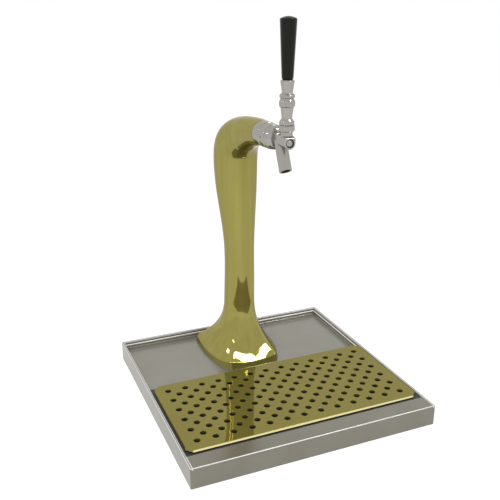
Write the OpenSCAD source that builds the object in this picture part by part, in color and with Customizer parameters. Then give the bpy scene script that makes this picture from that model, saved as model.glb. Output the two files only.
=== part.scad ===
// Draft beer tower: one swan neck tower with a forward pull tap, on a square drip tray.
// Origin: centre of the tray's footprint, on the surface that it stands on.
// +X is to the right of the drinker's side, +Y to the back, +Z up.

/* [Tray] */
// Width of the tray, left to right
tray_w = 350; // [300:1:420]
// Depth of the tray, front to back
tray_d = 350; // [320:1:420]
// Height of the tray's rim above the surface it stands on
tray_h = 30; // [26:1:45]
// Thickness of the folded steel sheet
sheet_t = 1.5; // [1:0.1:2]
// Gap under the tray's walls, left by the rubber feet
wall_lift_h = 1; // [0.5:0.1:2]
// Depth of the plain ledge in front of the grille
front_ledge_d = 25; // [15:1:40]
// Width of the narrow rim beside and behind the tray's opening
rim_w = 3.4; // [3.2:0.1:8]
// Height of the rim's folded inner lip
lip_h = 5; // [3:0.5:6]
// Drop from the rim down to the rear deck
deck_drop_h = 11; // [8:0.5:14]
// Width of the bright step where the deck's wall meets the rim's lip
deck_step_w = 1.2; // [0.5:0.1:3]
// Distance from the tray's back to the deck's upright front edge
deck_d = 158; // [150:1:165]
// Height of the deck's front edge below the tray's rim
upstand_drop_h = 1.4; // [1.2:0.1:4]

/* [Drip pan] */
// Thickness of the moulded pan's walls and floor
pan_t = 1.5; // [1:0.1:2.5]
// Width of the pan's flange
flange_w = 8; // [5:0.5:10]
// Height of the pan's floor above the surface the tray stands on
pan_floor_z = 4; // [2:0.5:8]
// Height of the flange's top below the tray's rim
flange_drop_h = 2; // [1.5:0.1:4]
// Radius of the pan's inside corners
pan_corner_r = 8; // [3:0.5:15]
// Width of the rail that carries the flange
rail_w = 6; // [4:0.5:7]

/* [Grille] */
// Gap between the plate's side edge and the tray's opening
grille_side_gap = 3.1; // [1:0.1:8]
// Gap between the plate's front edge and the front ledge
grille_front_gap = 5; // [1:0.1:10]
// Thickness of the perforated plate
grille_t = 3; // [2:0.1:4]
// Cut across each corner of the plate
grille_chamfer = 8; // [4:0.5:12]
// Distance between neighbouring holes in one row
hole_pitch = 25; // [20:0.5:30]
// Diameter of the holes
hole_d = 8.7; // [6:0.1:10]
// Least distance from the plate's edge to the middle of a hole
hole_margin_w = 16; // [12:0.5:24]
// Diameter of the soft pads under the plate
pad_d = 5; // [4:0.5:6]
// Thickness of the soft pads under the plate
pad_t = 0.6; // [0.4:0.1:1.5]

/* [Rubber feet] */
// Diameter of each rubber foot
foot_d = 22; // [16:1:28]
// Height of each rubber foot
foot_h = 5; // [4:0.5:7]
// Side of the square bracket above each foot
bracket_w = 30; // [26:1:31]

/* [Tower] */
// Height of the tap's axis above the surface the tray stands on
tap_z = 382; // [340:1:420]
// Drop from the tap's axis to where the tower's head starts to turn
head_drop_h = 53; // [45:1:60]
// Distance from the tower's axis to the tray's back
tower_back_d = 71; // [68:1:76]
// Distance from the tower's axis forward to the mouth of the neck
neck_len = 90; // [80:1:110]
// Radius of the column at its waist
waist_r = 24; // [20:0.5:28]
// Wall of the tower's shell
shell_t = 2; // [1.5:0.1:3]

/* [Tower foot] */
// Largest width of the tower's foot
base_w = 116.6; // [110:0.1:124]
// Distance from the tower's axis to the foot's front
base_front_d = 66; // [60:0.5:68]
// Distance from the tower's axis to the foot's back
base_back_d = 60; // [50:0.5:62]
// Width of the foot's flat front
base_front_w = 75; // [60:1:90]
// Radius of the foot's two back corners
base_corner_r = 16; // [12:1:30]
// Height of the upright band around the foot
band_h = 6.5; // [5:0.1:9]
// Extra height of the band at the two front corners
band_rise_h = 5; // [0:0.5:7]
// Height over which the foot flares into the column
flare_h = 84; // [70:1:100]

/* [Tower mounting] */
// Bolt circle of the tower's foot
mount_pcd = 76; // [66:1:84]
// Radius of the four mounting bolts
bolt_r = 3; // [2.5:0.1:3.5]
// Thickness of the threaded ring inside the foot
ring_t = 5.5; // [4:0.5:6]
// Thickness of the gasket under the foot
gasket_t = 0.8; // [0.5:0.1:1]
// Thickness of the steel plate under the deck
backing_t = 3; // [2:0.5:4]
// Width of the steel plate under the deck
backing_w = 124; // [116:1:140]
// Radius of the hole for the beer line
line_hole_r = 14; // [12:0.5:16]

/* [Beer line] */
// Outer radius of the beer line
line_r = 4.75; // [4:0.05:6]
// Wall of the beer line
line_t = 1.5; // [1:0.1:2]
// Radius of the line's bend inside the head
line_bend_r = 46; // [40:1:50]
// Free length of the inlet tail under the deck
inlet_len = 10; // [8:0.5:11]
// Radius of the inlet fitting's body
inlet_body_r = 7; // [6:0.5:9]

/* [Shank and collar] */
// Radius of the threaded shank
shank_r = 11; // [10:0.25:12]
// Radius of the shank's bore
shank_bore_r = 4; // [3:0.25:5]
// Length of the shank inside the neck
shank_in_len = 24; // [18:1:30]
// Radius of the collar against the neck
collar_r = 16.9; // [16:0.1:19]
// Length of the collar
collar_len = 19; // [12:0.5:24]
// Radius of the coupling nut
coupling_r = 16.3; // [15.5:0.1:18]
// Length of the coupling nut
coupling_len = 15.2; // [12:0.2:18]
// Radius of the two spanner holes in the coupling nut
spanner_r = 1.4; // [1:0.1:2]

/* [Tap body] */
// Distance from the mouth of the neck forward to the tap's front face
tap_len = 81.8; // [76:0.2:90]
// Width of the tap's block
block_w = 15.2; // [14:0.1:18]
// Height of the block's flat top above the tap's axis, at the front
block_top_h = 6.8; // [6.4:0.1:9]
// Extra height of the block's top behind its sloped front
block_step_h = 1.7; // [1:0.1:3]
// Radius of the round shoulder behind the block
shoulder_r = 15.5; // [14:0.1:16]
// Length of the shoulder's straight part
shoulder_len = 3; // [2:0.1:5]
// Radius of the tap's main bore
bore_r = 5.7; // [5:0.1:6]
// Radius of the spout
spout_r = 8.2; // [7.5:0.1:9]
// Radius of the spout's bore
spout_bore_r = 6.3; // [5:0.1:6.8]
// Lean of the spout forward from the vertical, in degrees
spout_lean = 25; // [15:1:30]
// Tilt of the spout's mouth, in degrees
mouth_tilt = 32; // [15:1:36]
// Drop from the tap's axis to the centre of the spout's mouth
spout_drop_h = 37; // [30:0.5:45]

/* [Tap valve] */
// Radius of the thin stem through the valve seat
stem_r = 2.2; // [1.8:0.1:2.6]
// Radius of the valve seat's bore
seat_r = 4.2; // [3.8:0.1:4.6]
// Radius of the rubber seat washer
washer_r = 6; // [5.4:0.1:6.4]
// Travel of the valve shaft when the lever is fully forward
shaft_travel_len = 3.8; // [3:0.05:4.2]

/* [Lever] */
// Distance from the tap's front face back to the lever's axis
lever_back_len = 10.6; // [10:0.1:14]
// Height of the lever's ball above the tap's axis
pivot_h = 9; // [8.5:0.1:10]
// Radius of the lever's ball
ball_r = 5; // [4.6:0.1:5.2]
// Radius of the bonnet's neck
bonnet_neck_r = 7.6; // [7.2:0.1:8]
// Radius of the bonnet's bead
bonnet_r = 10; // [9.4:0.1:11]
// Radius of the dome that the lever's cup rides over, about the ball
dome_r = 15.7; // [15:0.1:17]
// Radius of the lever's cup
cup_r = 9.4; // [9:0.1:10]
// Radius of the lever's stem inside the bonnet
lever_stem_r = 3; // [2.6:0.1:3.4]
// Radius of the lever's tongue below the ball
tongue_r = 2; // [1.6:0.1:2.2]
// Forward swing of the lever, in degrees
lever_swing = 25; // [18:1:28]
// Smallest radius of each turned cone
cone_small_r = 6.4; // [5.5:0.1:7]
// Largest radius of the lower turned cone
cone_large_r = 8.5; // [8:0.1:9.5]
// Height of the lower turned cone
cone_h = 13.5; // [11:0.1:16]
// Radius of the jam nut's bead
jam_r = 9.9; // [9.6:0.1:11]
// Height of the jam nut
jam_h = 9.5; // [8:0.1:12]
// Radius of the ferrule's bead
ferrule_bead_r = 9.6; // [9:0.1:10.4]
// Height of the whole ferrule
ferrule_h = 21.5; // [18:0.5:25]
// Radius of the ferrule's cup at the handle
ferrule_r = 8.75; // [8.5:0.05:9.5]

/* [Handle] */
// Radius of the handle at its lower end
handle_small_r = 7.25; // [7:0.05:8.2]
// Radius of the handle at its upper end
handle_large_r = 10.45; // [9.5:0.05:12]
// Length of the handle's taper
handle_len = 69; // [60:0.5:90]
// Height of the handle's crown above its taper
handle_crown_h = 2.3; // [1:0.1:4]
// Rounding of the handle's top edge
handle_round_r = 1.6; // [1:0.1:2]
// Radius of the threaded stud in the handle
stud_r = 4; // [3:0.1:4.5]

/* [Clearances] */
// Gap between pieces on different bodies
body_gap = 0.4; // [0.3:0.05:0.8]
// Radial gap of a running fit
run_gap = 0.07; // [0.03:0.01:0.1]
// Radial gap of a thread or a seated piece
seat_gap = 0.05; // [0.03:0.01:0.1]

/* [Hidden] */
// Overrun of every cut past the face that it opens
cut_over = 1;
// Facets of round pieces
round_facets = 64;
// What a faceted skin loses of its radius between two points, as a share
facet_share = 0.006;

// Places that several pieces share
deck_z = tray_h - deck_drop_h;
tower_y = tray_d/2 - tower_back_d;
mouth_y = tower_y - neck_len;
front_y = mouth_y - tap_len;
lever_y = front_y + lever_back_len;
pivot_z = tap_z + pivot_h;
wall_in_x = tray_w/2 - sheet_t;
wall_in_y = tray_d/2 - sheet_t;
opening_half_w = tray_w/2 - rim_w;
opening_front_y = -tray_d/2 + front_ledge_d;
opening_back_y = tray_d/2 - rim_w;
lip_z = tray_h - lip_h;
deck_front_y = tray_d/2 - deck_d;
deck_half_w = opening_half_w - deck_step_w;
deck_back_y = opening_back_y - deck_step_w;
upstand_z = tray_h - upstand_drop_h;

// Drip pan and grille
pan_gap = 0.6;
flange_z = tray_h - flange_drop_h;
rail_z = flange_z - pan_t - body_gap;
pan_half_w = opening_half_w - pan_gap;
pan_front_y = opening_front_y + pan_gap;
pan_back_y = deck_front_y - pan_gap;
pan_wall_half_w = pan_half_w - flange_w;
pan_wall_front_y = pan_front_y + flange_w;
pan_wall_back_y = pan_back_y - flange_w;
grille_z = flange_z + body_gap + pad_t;
grille_w = 2*(opening_half_w - grille_side_gap);
grille_d = deck_front_y - opening_front_y - grille_front_gap;
grille_y = deck_front_y - grille_d/2;
row_pitch = hole_pitch/2;
hole_count = floor((grille_w - 2*hole_margin_w)/hole_pitch) + 1;
row_count = floor((grille_d - 2*hole_margin_w)/row_pitch) + 1;
pad_inset_w = 0.6;

// Rubber feet
foot_x = wall_in_x - bracket_w/2;
foot_y = wall_in_y - bracket_w/2;
foot_taper_share = 0.86;
foot_screw_r = 2;
foot_screw_head_r = 4;
foot_screw_head_h = 2.4;
foot_screw_sunk_h = 1.2;
foot_nut_r = 4;
foot_nut_h = 3.2;

// Tower shell. Each station of the column is [share of the column's height, lean as a share of
// neck_len, radius as a share of waist_r], from the deck up to where the head starts to turn.
head_z = tap_z - head_drop_h;
column_h = head_z - deck_z;
column_stations_share = [
    [0.000, 0.000, 1.000], [0.120, 0.000, 1.000], [0.255, -0.018, 0.996], [0.335, -0.028, 0.984],
    [0.400, -0.036, 0.970], [0.465, -0.040, 0.958], [0.529, -0.037, 0.957], [0.590, -0.027, 0.978],
    [0.652, -0.008, 1.029], [0.711, 0.017, 1.100], [0.771, 0.044, 1.178], [0.845, 0.077, 1.270],
    [0.923, 0.102, 1.334], [1.000, 0.108, 1.364]];
column_last = len(column_stations_share) - 1;
// The head turns about a level line in front of its inner corner. Each station is [share of the
// quarter turn, distance of the ring's centre from that line, radius], both as shares of waist_r.
turn_stations_share = [
    [0.000, 2.196, 1.364], [0.167, 2.185, 1.361], [0.333, 2.125, 1.337], [0.500, 2.005, 1.248],
    [0.667, 1.880, 1.118], [0.833, 1.828, 1.012], [1.000, 1.875, 0.957]];
turn_last = len(turn_stations_share) - 1;
// The snout runs level to the mouth. Each station is [share of its length, height of its centre
// below the tap's axis, radius], both as shares of waist_r.
snout_stations_share = [
    [0.000, 0.333, 0.957], [0.130, 0.260, 0.903], [0.280, 0.189, 0.858], [0.450, 0.127, 0.815],
    [0.620, 0.080, 0.784], [0.800, 0.040, 0.753], [1.000, 0.000, 0.708]];
snout_last = len(snout_stations_share) - 1;
turn_y = tower_y + neck_len*column_stations_share[column_last][1] - waist_r*turn_stations_share[0][1];
column_steps = 2;
turn_steps = 2;
snout_steps = 1;
flare_rings = 10;
flare_power = 2.3;
flare_spread_share = 1.25;
rise_reach_share = 0.27;
rise_power = 1.2;
base_side_bend_share = [0.940, -0.642];
base_flank_w = 1.2;
rear_rise_share = 0.75;
base_side_end_share = 0.2;
front_bulge_share = 0.023;
base_front_steps = 4;
base_side_steps = 8;
base_flank_steps = 2;
base_corner_steps = 4;
base_back_steps = 4;

// Tower mounting
thread_depth_share = 0.1;
tap_drill_r = bolt_r*(1 - thread_depth_share);
bolt_pass_r = bolt_r*(1 + thread_depth_share);
bolt_head_r = 5.8;
bolt_head_h = 4;
bolt_washer_r = 6;
bolt_washer_t = 1.6;
backing_z = deck_z - sheet_t - backing_t;
ring_z = deck_z + gasket_t;
plate_hole_gap = 2.4;
plate_hole_r = line_hole_r + plate_hole_gap;

// Beer line and inlet
inlet_end_z = 2;
inlet_body_z = inlet_end_z + inlet_len;
barb_len = 13;
grommet_lip = 2;
grommet_lip_t = 2;
line_start_z = deck_z + grommet_lip_t + seat_gap;
line_bore_r = line_r - line_t;
barb_r = line_bore_r - 2*seat_gap;
barb_wall = 0.8;
line_facets = 12;
line_bend_steps = 14;
line_rise_rings = 16;
clamp_t = 1;
clamp_w = 6;
clamp_screw_r = 2.4;

// Shank, collar and coupling nut
coupling_y = mouth_y - collar_len;
coupling_end_y = coupling_y - coupling_len;
edge_chamfer = 0.8;
bush_len = 6;
neck_bore_r = waist_r*snout_stations_share[snout_last][2] - shell_t;
bush_r = neck_bore_r*(1 - facet_share) - seat_gap;
shank_washer_t = 1.6;
shank_washer_r = bush_r - edge_chamfer;
shank_nut_t = 7;
shank_nut_af = 25;
tail_flange = 1.9;
tail_flange_r = shank_r + tail_flange;
tail_flange_len = 2.8;
tail_neck = 0.8;
tail_neck_r = shank_r + tail_neck;
tail_clear_gap = 0.2;
tail_gasket_t = 2;
tail_gasket_wall = 4.5;
coupling_lip_len = 3;
coupling_seat_y = coupling_end_y + coupling_lip_len;
body_back_y = coupling_seat_y + tail_flange_len;
shank_out_y = body_back_y + tail_gasket_t;
spanner_depth_len = 4;

// Tap body
shoulder_y = coupling_end_y - body_gap;
shoulder_round_len = 8;
block_back_y = shoulder_y - shoulder_len;
block_slope_len = 5.8;
inlet_bore_r = 7;
seat_len = 4;
seat_set_len = 6.5;
seat_y = shoulder_y - seat_set_len;
spout_ahead_len = 0.5;
spout_y = lever_y + spout_ahead_len;
spout_z = tap_z - spout_drop_h;
outlet_len = 22;
throat_step_w = 0.8;
plug_len = 3.4;
plug_sunk_len = 0.6;
plug_face_share = 0.58;
plug_cone_len = 1.8;

// Valve shaft
shuttle_r = bore_r - run_gap;
shuttle_front_y = front_y + plug_sunk_len + plug_len + body_gap;
shuttle_len = 13.6;
seat_washer_t = 3;
shaft_nut_t = 2.6;
shaft_nut_r = 4;

// Bonnet and lever, as heights above the tap's axis
bonnet_low = block_top_h + block_step_h;
spigot_len = 3;
ball_gap = 0.35;
ball_seat_r = ball_r + ball_gap;
spigot_wall = 0.6;
spigot_r = ball_seat_r + spigot_wall;
bonnet_washer_t = 1;
bonnet_washer_low = bonnet_low - spigot_len - bonnet_washer_t;
bonnet_washer_in_r = ball_r;
bonnet_neck_h = 5.25;
bonnet_bead_low = bonnet_low + bonnet_neck_h;
bonnet_bead_high = pivot_h + sqrt(dome_r*dome_r - bonnet_r*bonnet_r);
bead_chamfer = 1.2;
cup_inner_r = dome_r + body_gap;
cup_h = 6.1;
cup_wall_h = 1.6;
cup_rim = pivot_h + sqrt(cup_inner_r*cup_inner_r - cup_r*cup_r);
cup_top = cup_rim + cup_h;
cup_low = cup_rim - cup_wall_h;
cone_rise_h = 1.8;
cone_low = cup_top + cone_rise_h;
cone_high = cone_low + cone_h;
jam_low = cone_high;
jam_high = jam_low + jam_h;
groove_h = 1.2;
ferrule_low = jam_high + groove_h;
ferrule_high = ferrule_low + ferrule_h;
groove_r = 8.4;
ferrule_bead_h = 5;
handle_neck_h = 1.8;
handle_low = ferrule_high + handle_neck_h;
handle_neck_r = 6.4;
handle_high = handle_low + handle_len;
stud_lever_len = 6;
stud_handle_len = 22;
stud_low = jam_low - stud_lever_len;
stud_high = handle_low + stud_handle_len;
insert_wall = 1.5;
insert_len = stud_handle_len + 2*insert_wall;
slot_half_w = lever_stem_r + body_gap;
slot_reach_share = 1.3;
slot_reach = slot_reach_share*dome_r;
slot_half_deg = asin(slot_half_w/slot_reach);
slot_steps = 6;
tongue_tip_w = 0.3;
tongue_tip_r = tongue_r + tongue_tip_w;
tongue_play_gap = 0.3;
shaft_flat_h = pivot_h - ball_r - 2*body_gap;
pocket_back = tongue_tip_r + tongue_play_gap;
tongue_sweep = shaft_travel_len + tongue_r/cos(lever_swing) - (pivot_h - shaft_flat_h)*tan(lever_swing);
pocket_front = max(pocket_back, tongue_sweep + tongue_play_gap);

// Colours as the photograph shows them
brass = [0.60, 0.56, 0.32];
steel = [0.60, 0.59, 0.56];
chrome = [0.66, 0.65, 0.62];
black_plastic = [0.17, 0.17, 0.16];
pan_black = [0.12, 0.12, 0.12];
rubber = [0.10, 0.10, 0.10];
clear_line = [0.80, 0.82, 0.80];
nylon = [0.85, 0.84, 0.80];

// Helpers

// A box from one corner to the opposite one
module span(low, high) {
    translate(low)
        cube(high - low);
}

// A solid turned about the Y axis through the tap's axis. Its outline's points are [radius, y].
module turned_y(outline) {
    translate([0, 0, tap_z])
        rotate([-90, 0, 0])
            rotate_extrude($fn = round_facets)
                polygon([for (p = outline) [p[0], p[1]]]);
}

// A solid turned about the lever's axis. Its outline's points are [radius, height over the tap].
module turned_lever(outline) {
    translate([0, lever_y, tap_z])
        rotate_extrude($fn = round_facets)
            polygon(outline);
}

// Four copies, one in each corner of a rectangle around the origin
module at_corners(half_x, half_y) {
    for (sx = [-1, 1], sy = [-1, 1])
        translate([sx*half_x, sy*half_y, 0])
            children();
}

// Four copies on the tower's bolt circle
module at_bolts() {
    for (i = [0:3])
        translate([0, tower_y, 0])
            rotate([0, 0, 45 + 90*i])
                translate([mount_pcd/2, 0, 0])
                    children();
}

// A point on a smooth curve through a list of points, at share u of the list
function curve_point(pts, u) =
    let (n = len(pts) - 1, i = min(floor(u*n), n - 1), t = u*n - i,
         a = pts[max(i - 1, 0)], b = pts[i], c = pts[i + 1], d = pts[min(i + 2, n)])
    0.5*((2*b) + (c - a)*t + (2*a - 5*b + 4*c - d)*t*t + (3*b - a - 3*c + d)*t*t*t);

// Triangles between rings of equal length. The rings close on themselves, the tube does not.
function tube_sides(rings, n, first, flip) =
    [for (j = [0:rings - 2], k = [0:n - 1])
        let (a = first + j*n + k, b = first + j*n + (k + 1) % n, c = a + n, d = b + n)
        each flip ? [[a, c, b], [b, c, d]] : [[a, b, c], [b, d, c]]];

// Triangles across the gap between an outer ring and an inner ring
function rim_faces(n, outer, inner, flip) =
    [for (k = [0:n - 1])
        let (a = outer + k, b = outer + (k + 1) % n, c = inner + k, d = inner + (k + 1) % n)
        each flip ? [[a, c, b], [b, c, d]] : [[a, b, c], [b, d, c]]];

// Tray

module tray_shell() {
    color(steel)
        difference() {
            union() {
                difference() {
                    span([-tray_w/2, -tray_d/2, wall_lift_h], [tray_w/2, tray_d/2, tray_h]);
                    // Hollow under the top sheet
                    span([-wall_in_x, -wall_in_y, -cut_over], [wall_in_x, wall_in_y, tray_h - sheet_t]);
                }
                // Lip folded down around the opening
                span([-wall_in_x - sheet_t/2, opening_front_y - sheet_t, lip_z],
                    [wall_in_x + sheet_t/2, wall_in_y + sheet_t/2, tray_h - sheet_t/2]);
            }
            span([-opening_half_w, opening_front_y, lip_z - cut_over],
                [opening_half_w, opening_back_y, tray_h + cut_over]);
        }
}

// Sunk deck behind the drip pan. Its side and back walls end in a flange under the rim's lip.
module deck_plate() {
    color(steel)
        difference() {
            union() {
                span([-deck_half_w - sheet_t, deck_front_y, deck_z - sheet_t],
                    [deck_half_w + sheet_t, deck_back_y + sheet_t, lip_z]);
                span([-wall_in_x, deck_front_y, lip_z - sheet_t], [wall_in_x, wall_in_y, lip_z]);
                // Upright front edge
                span([-opening_half_w, deck_front_y, deck_z - sheet_t],
                    [opening_half_w, deck_front_y + sheet_t, upstand_z]);
            }
            span([-deck_half_w, deck_front_y + sheet_t, deck_z], [deck_half_w, deck_back_y, tray_h]);
            translate([0, tower_y, deck_z - sheet_t - cut_over])
                cylinder(h = sheet_t + 2*cut_over, r = line_hole_r, $fn = round_facets);
            at_bolts()
                translate([0, 0, deck_z - sheet_t - cut_over])
                    cylinder(h = sheet_t + 2*cut_over, r = bolt_pass_r, $fn = round_facets);
        }
}

// The pan's flange rests on this rail, which is welded around the pan's opening
module pan_rail() {
    color(steel)
        difference() {
            span([-opening_half_w, opening_front_y, rail_z - sheet_t],
                [opening_half_w, deck_front_y, rail_z]);
            span([-opening_half_w + rail_w, opening_front_y + rail_w, rail_z - sheet_t - cut_over],
                [opening_half_w - rail_w, deck_front_y - rail_w, rail_z + cut_over]);
        }
}

module corner_brackets() {
    color(steel)
        at_corners(foot_x, foot_y)
            translate([0, 0, foot_h])
                difference() {
                    translate([-bracket_w/2, -bracket_w/2, 0])
                        cube([bracket_w, bracket_w, sheet_t]);
                    translate([0, 0, -cut_over])
                        cylinder(h = sheet_t + 2*cut_over, r = foot_screw_r + seat_gap, $fn = round_facets);
                }
}

module rubber_feet() {
    color(rubber)
        at_corners(foot_x, foot_y)
            difference() {
                cylinder(h = foot_h, r1 = foot_taper_share*foot_d/2, r2 = foot_d/2, $fn = round_facets);
                translate([0, 0, -cut_over])
                    cylinder(h = foot_h + 2*cut_over, r = foot_screw_r + seat_gap, $fn = round_facets);
                translate([0, 0, -cut_over])
                    cylinder(h = foot_screw_sunk_h + foot_screw_head_h + cut_over,
                        r = foot_screw_head_r + seat_gap, $fn = round_facets);
            }
}

module foot_screws() {
    shank_h = foot_h - foot_screw_sunk_h + sheet_t + foot_nut_h;
    color(steel)
        at_corners(foot_x, foot_y)
            translate([0, 0, foot_screw_sunk_h])
                union() {
                    cylinder(h = foot_screw_head_h, r = foot_screw_head_r, $fn = round_facets);
                    cylinder(h = shank_h, r = foot_screw_r, $fn = round_facets);
                }
}

module foot_nuts() {
    color(steel)
        at_corners(foot_x, foot_y)
            translate([0, 0, foot_h + sheet_t])
                difference() {
                    cylinder(h = foot_nut_h, r = foot_nut_r, $fn = 6);
                    translate([0, 0, -cut_over])
                        cylinder(h = foot_nut_h + 2*cut_over, r = foot_screw_r + seat_gap,
                            $fn = round_facets);
                }
}

// Tower

// Half of the foot's outline, from the middle of its front round to the middle of its back.
// Points are [x, y] from the tower's axis.
function base_half() =
    let (half = base_w/2, corner = [base_front_w/2, -base_front_d + front_bulge_share*base_front_d],
         side = [half, base_side_end_share*base_back_d],
         bend = [base_side_bend_share[0]*half, base_side_bend_share[1]*base_front_d],
         back_half = half - base_flank_w, corner_y = base_back_d - base_corner_r)
    concat(
        [for (i = [0:base_front_steps - 1]) let (t = i/base_front_steps)
            [t*corner[0], -base_front_d + (corner[1] + base_front_d)*t*t]],
        [for (i = [0:base_side_steps - 1]) let (t = i/base_side_steps)
            corner*(1 - t)*(1 - t) + bend*2*t*(1 - t) + side*t*t],
        [for (i = [0:base_flank_steps - 1]) let (t = i/base_flank_steps)
            [half + t*(back_half - half), side[1] + t*(corner_y - side[1])]],
        [for (i = [0:base_corner_steps - 1]) let (a = 90*i/base_corner_steps)
            [back_half - base_corner_r + base_corner_r*cos(a), corner_y + base_corner_r*sin(a)]],
        [for (i = [0:base_back_steps]) let (t = i/base_back_steps)
            [(back_half - base_corner_r)*(1 - t), base_back_d]]);

base_right = base_half();
base_points = concat(base_right,
    [for (i = [len(base_right) - 2:-1:1]) [-base_right[i][0], base_right[i][1]]]);
base_count = len(base_points);
front_corner = [base_front_w/2, -base_front_d];
corner_cut = base_corner_r*(1 - sqrt(1/2));
rear_corner = [base_w/2 - base_flank_w - corner_cut, base_back_d - corner_cut];

// How near a point of the foot's outline is to a corner: 1 in the corner itself
function near_share(p, corner) =
    exp(-pow(norm([abs(p[0]), p[1]] - corner)/(rise_reach_share*base_front_d), rise_power));
// How much the band is raised at a point of the outline: all of it at a front corner
function rise_share(p) = max(near_share(p, front_corner), rear_rise_share*near_share(p, rear_corner));

// Where the foot's flare begins and ends, as shares of the column's height
flare_low_share = band_h/column_h;
flare_high_share = (band_h + flare_h)/column_h;

function column_state(h) =
    let (i = max([for (k = [0:column_last - 1]) column_stations_share[k][0] <= h ? k : 0]),
         a = column_stations_share[i][0], b = column_stations_share[i + 1][0])
    curve_point(column_stations_share, (i + (h - a)/(b - a))/column_last);

// Each ring of the tower is [y, z, turn in degrees, radius, share of the foot, share of the rise]
function column_ring(h) =
    let (s = column_state(h),
         f = h >= flare_high_share ? 0 : h <= flare_low_share ? 1
            : pow(1 - (h - flare_low_share)/(flare_high_share - flare_low_share), flare_power))
    [tower_y + s[1]*neck_len, deck_z + h*column_h, 0, s[2]*waist_r, f, h <= 0 ? 0 : f*f];

flare_ring_list = [for (i = [0:flare_rings]) let (t = i/flare_rings)
    column_ring(flare_low_share + (flare_high_share - flare_low_share)*pow(t, flare_spread_share))];
column_ring_list = [for (i = [0:column_last*column_steps])
    let (s = curve_point(column_stations_share, i/(column_last*column_steps)))
    if (s[0] > flare_high_share + 1/(2*column_last*column_steps))
        [tower_y + s[1]*neck_len, deck_z + s[0]*column_h, 0, s[2]*waist_r, 0, 0]];
turn_ring_list = [for (i = [1:turn_last*turn_steps])
    let (s = curve_point(turn_stations_share, i/(turn_last*turn_steps)), a = 90*s[0])
    [turn_y + s[1]*waist_r*cos(a), head_z + s[1]*waist_r*sin(a), a, s[2]*waist_r, 0, 0]];
snout_ring_list = [for (i = [1:snout_last*snout_steps])
    let (s = curve_point(snout_stations_share, i/(snout_last*snout_steps)))
    [turn_y + (mouth_y - turn_y)*s[0], tap_z - s[1]*waist_r, 90, s[2]*waist_r, 0, 0]];
tower_rings = concat([column_ring(0)], flare_ring_list, column_ring_list, turn_ring_list, snout_ring_list);

// Points of one ring, set in from the outer surface by a wall
function ring_points(ring, wall) =
    [for (p = base_points)
        let (reach = norm(p), r = ring[3] + ring[4]*(reach - ring[3]) - wall,
             x = r*p[0]/reach, y = r*p[1]/reach, a = ring[2],
             rise = ring[5]*band_rise_h*rise_share(p))
        [x, ring[0] + y*cos(a), ring[1] + y*sin(a) + rise]];

module tower_shell() {
    rings = len(tower_rings);
    inner = rings*base_count;
    points = concat([for (ring = tower_rings) each ring_points(ring, 0)],
        [for (ring = tower_rings) each ring_points(ring, shell_t)]);
    faces = concat(tube_sides(rings, base_count, 0, true), tube_sides(rings, base_count, inner, false),
        rim_faces(base_count, 0, inner, false),
        rim_faces(base_count, (rings - 1)*base_count, inner + (rings - 1)*base_count, true));
    color(brass)
        polyhedron(points = points, faces = faces, convexity = 8);
}

// A flat plate of the foot's outline, set in by a wall, with the line's hole
module base_plate(z, t, inset, hole_r) {
    translate([0, tower_y, z])
        difference() {
            linear_extrude(height = t)
                polygon([for (p = base_points) p*(norm(p) - inset)/norm(p)]);
            translate([0, 0, -cut_over])
                cylinder(h = t + 2*cut_over, r = hole_r, $fn = round_facets);
        }
}

module foot_ring() {
    color(brass)
        difference() {
            base_plate(ring_z, ring_t, shell_t + seat_gap, plate_hole_r);
            at_bolts()
                translate([0, 0, ring_z - cut_over])
                    cylinder(h = ring_t + 2*cut_over, r = tap_drill_r, $fn = round_facets);
        }
}

module foot_gasket() {
    color(rubber)
        difference() {
            base_plate(deck_z, gasket_t, shell_t + seat_gap, plate_hole_r);
            at_bolts()
                translate([0, 0, deck_z - cut_over])
                    cylinder(h = gasket_t + 2*cut_over, r = bolt_pass_r, $fn = round_facets);
        }
}

module backing_plate() {
    color(steel)
        difference() {
            span([-backing_w/2, tower_y - backing_w/2, backing_z],
                [backing_w/2, min(tower_y + backing_w/2, deck_back_y), backing_z + backing_t]);
            translate([0, tower_y, backing_z - cut_over])
                cylinder(h = backing_t + 2*cut_over, r = line_hole_r, $fn = round_facets);
            at_bolts()
                translate([0, 0, backing_z - cut_over])
                    cylinder(h = backing_t + 2*cut_over, r = bolt_pass_r, $fn = round_facets);
        }
}

module tower_washers() {
    color(steel)
        at_bolts()
            translate([0, 0, backing_z - bolt_washer_t])
                difference() {
                    cylinder(h = bolt_washer_t, r = bolt_washer_r, $fn = round_facets);
                    translate([0, 0, -cut_over])
                        cylinder(h = bolt_washer_t + 2*cut_over, r = bolt_pass_r, $fn = round_facets);
                }
}

module tower_bolts() {
    bolt_z = backing_z - bolt_washer_t - bolt_head_h;
    color(steel)
        at_bolts()
            union() {
                translate([0, 0, bolt_z])
                    cylinder(h = bolt_head_h, r = bolt_head_r, $fn = 6);
                translate([0, 0, bolt_z + bolt_head_h])
                    cylinder(h = ring_z + ring_t - bolt_z - bolt_head_h, r = tap_drill_r - seat_gap,
                        $fn = round_facets);
            }
}

// Beer line

module line_grommet() {
    low = backing_z - grommet_lip_t;
    high = deck_z;
    color(rubber)
        translate([0, tower_y, 0])
            rotate_extrude($fn = round_facets)
                polygon([[inlet_body_r + seat_gap, low], [line_hole_r + grommet_lip, low],
                    [line_hole_r + grommet_lip, backing_z], [line_hole_r - seat_gap, backing_z],
                    [line_hole_r - seat_gap, high], [line_hole_r + grommet_lip, high],
                    [line_hole_r + grommet_lip, high + grommet_lip_t],
                    [inlet_body_r + seat_gap, high + grommet_lip_t]]);
}

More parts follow.
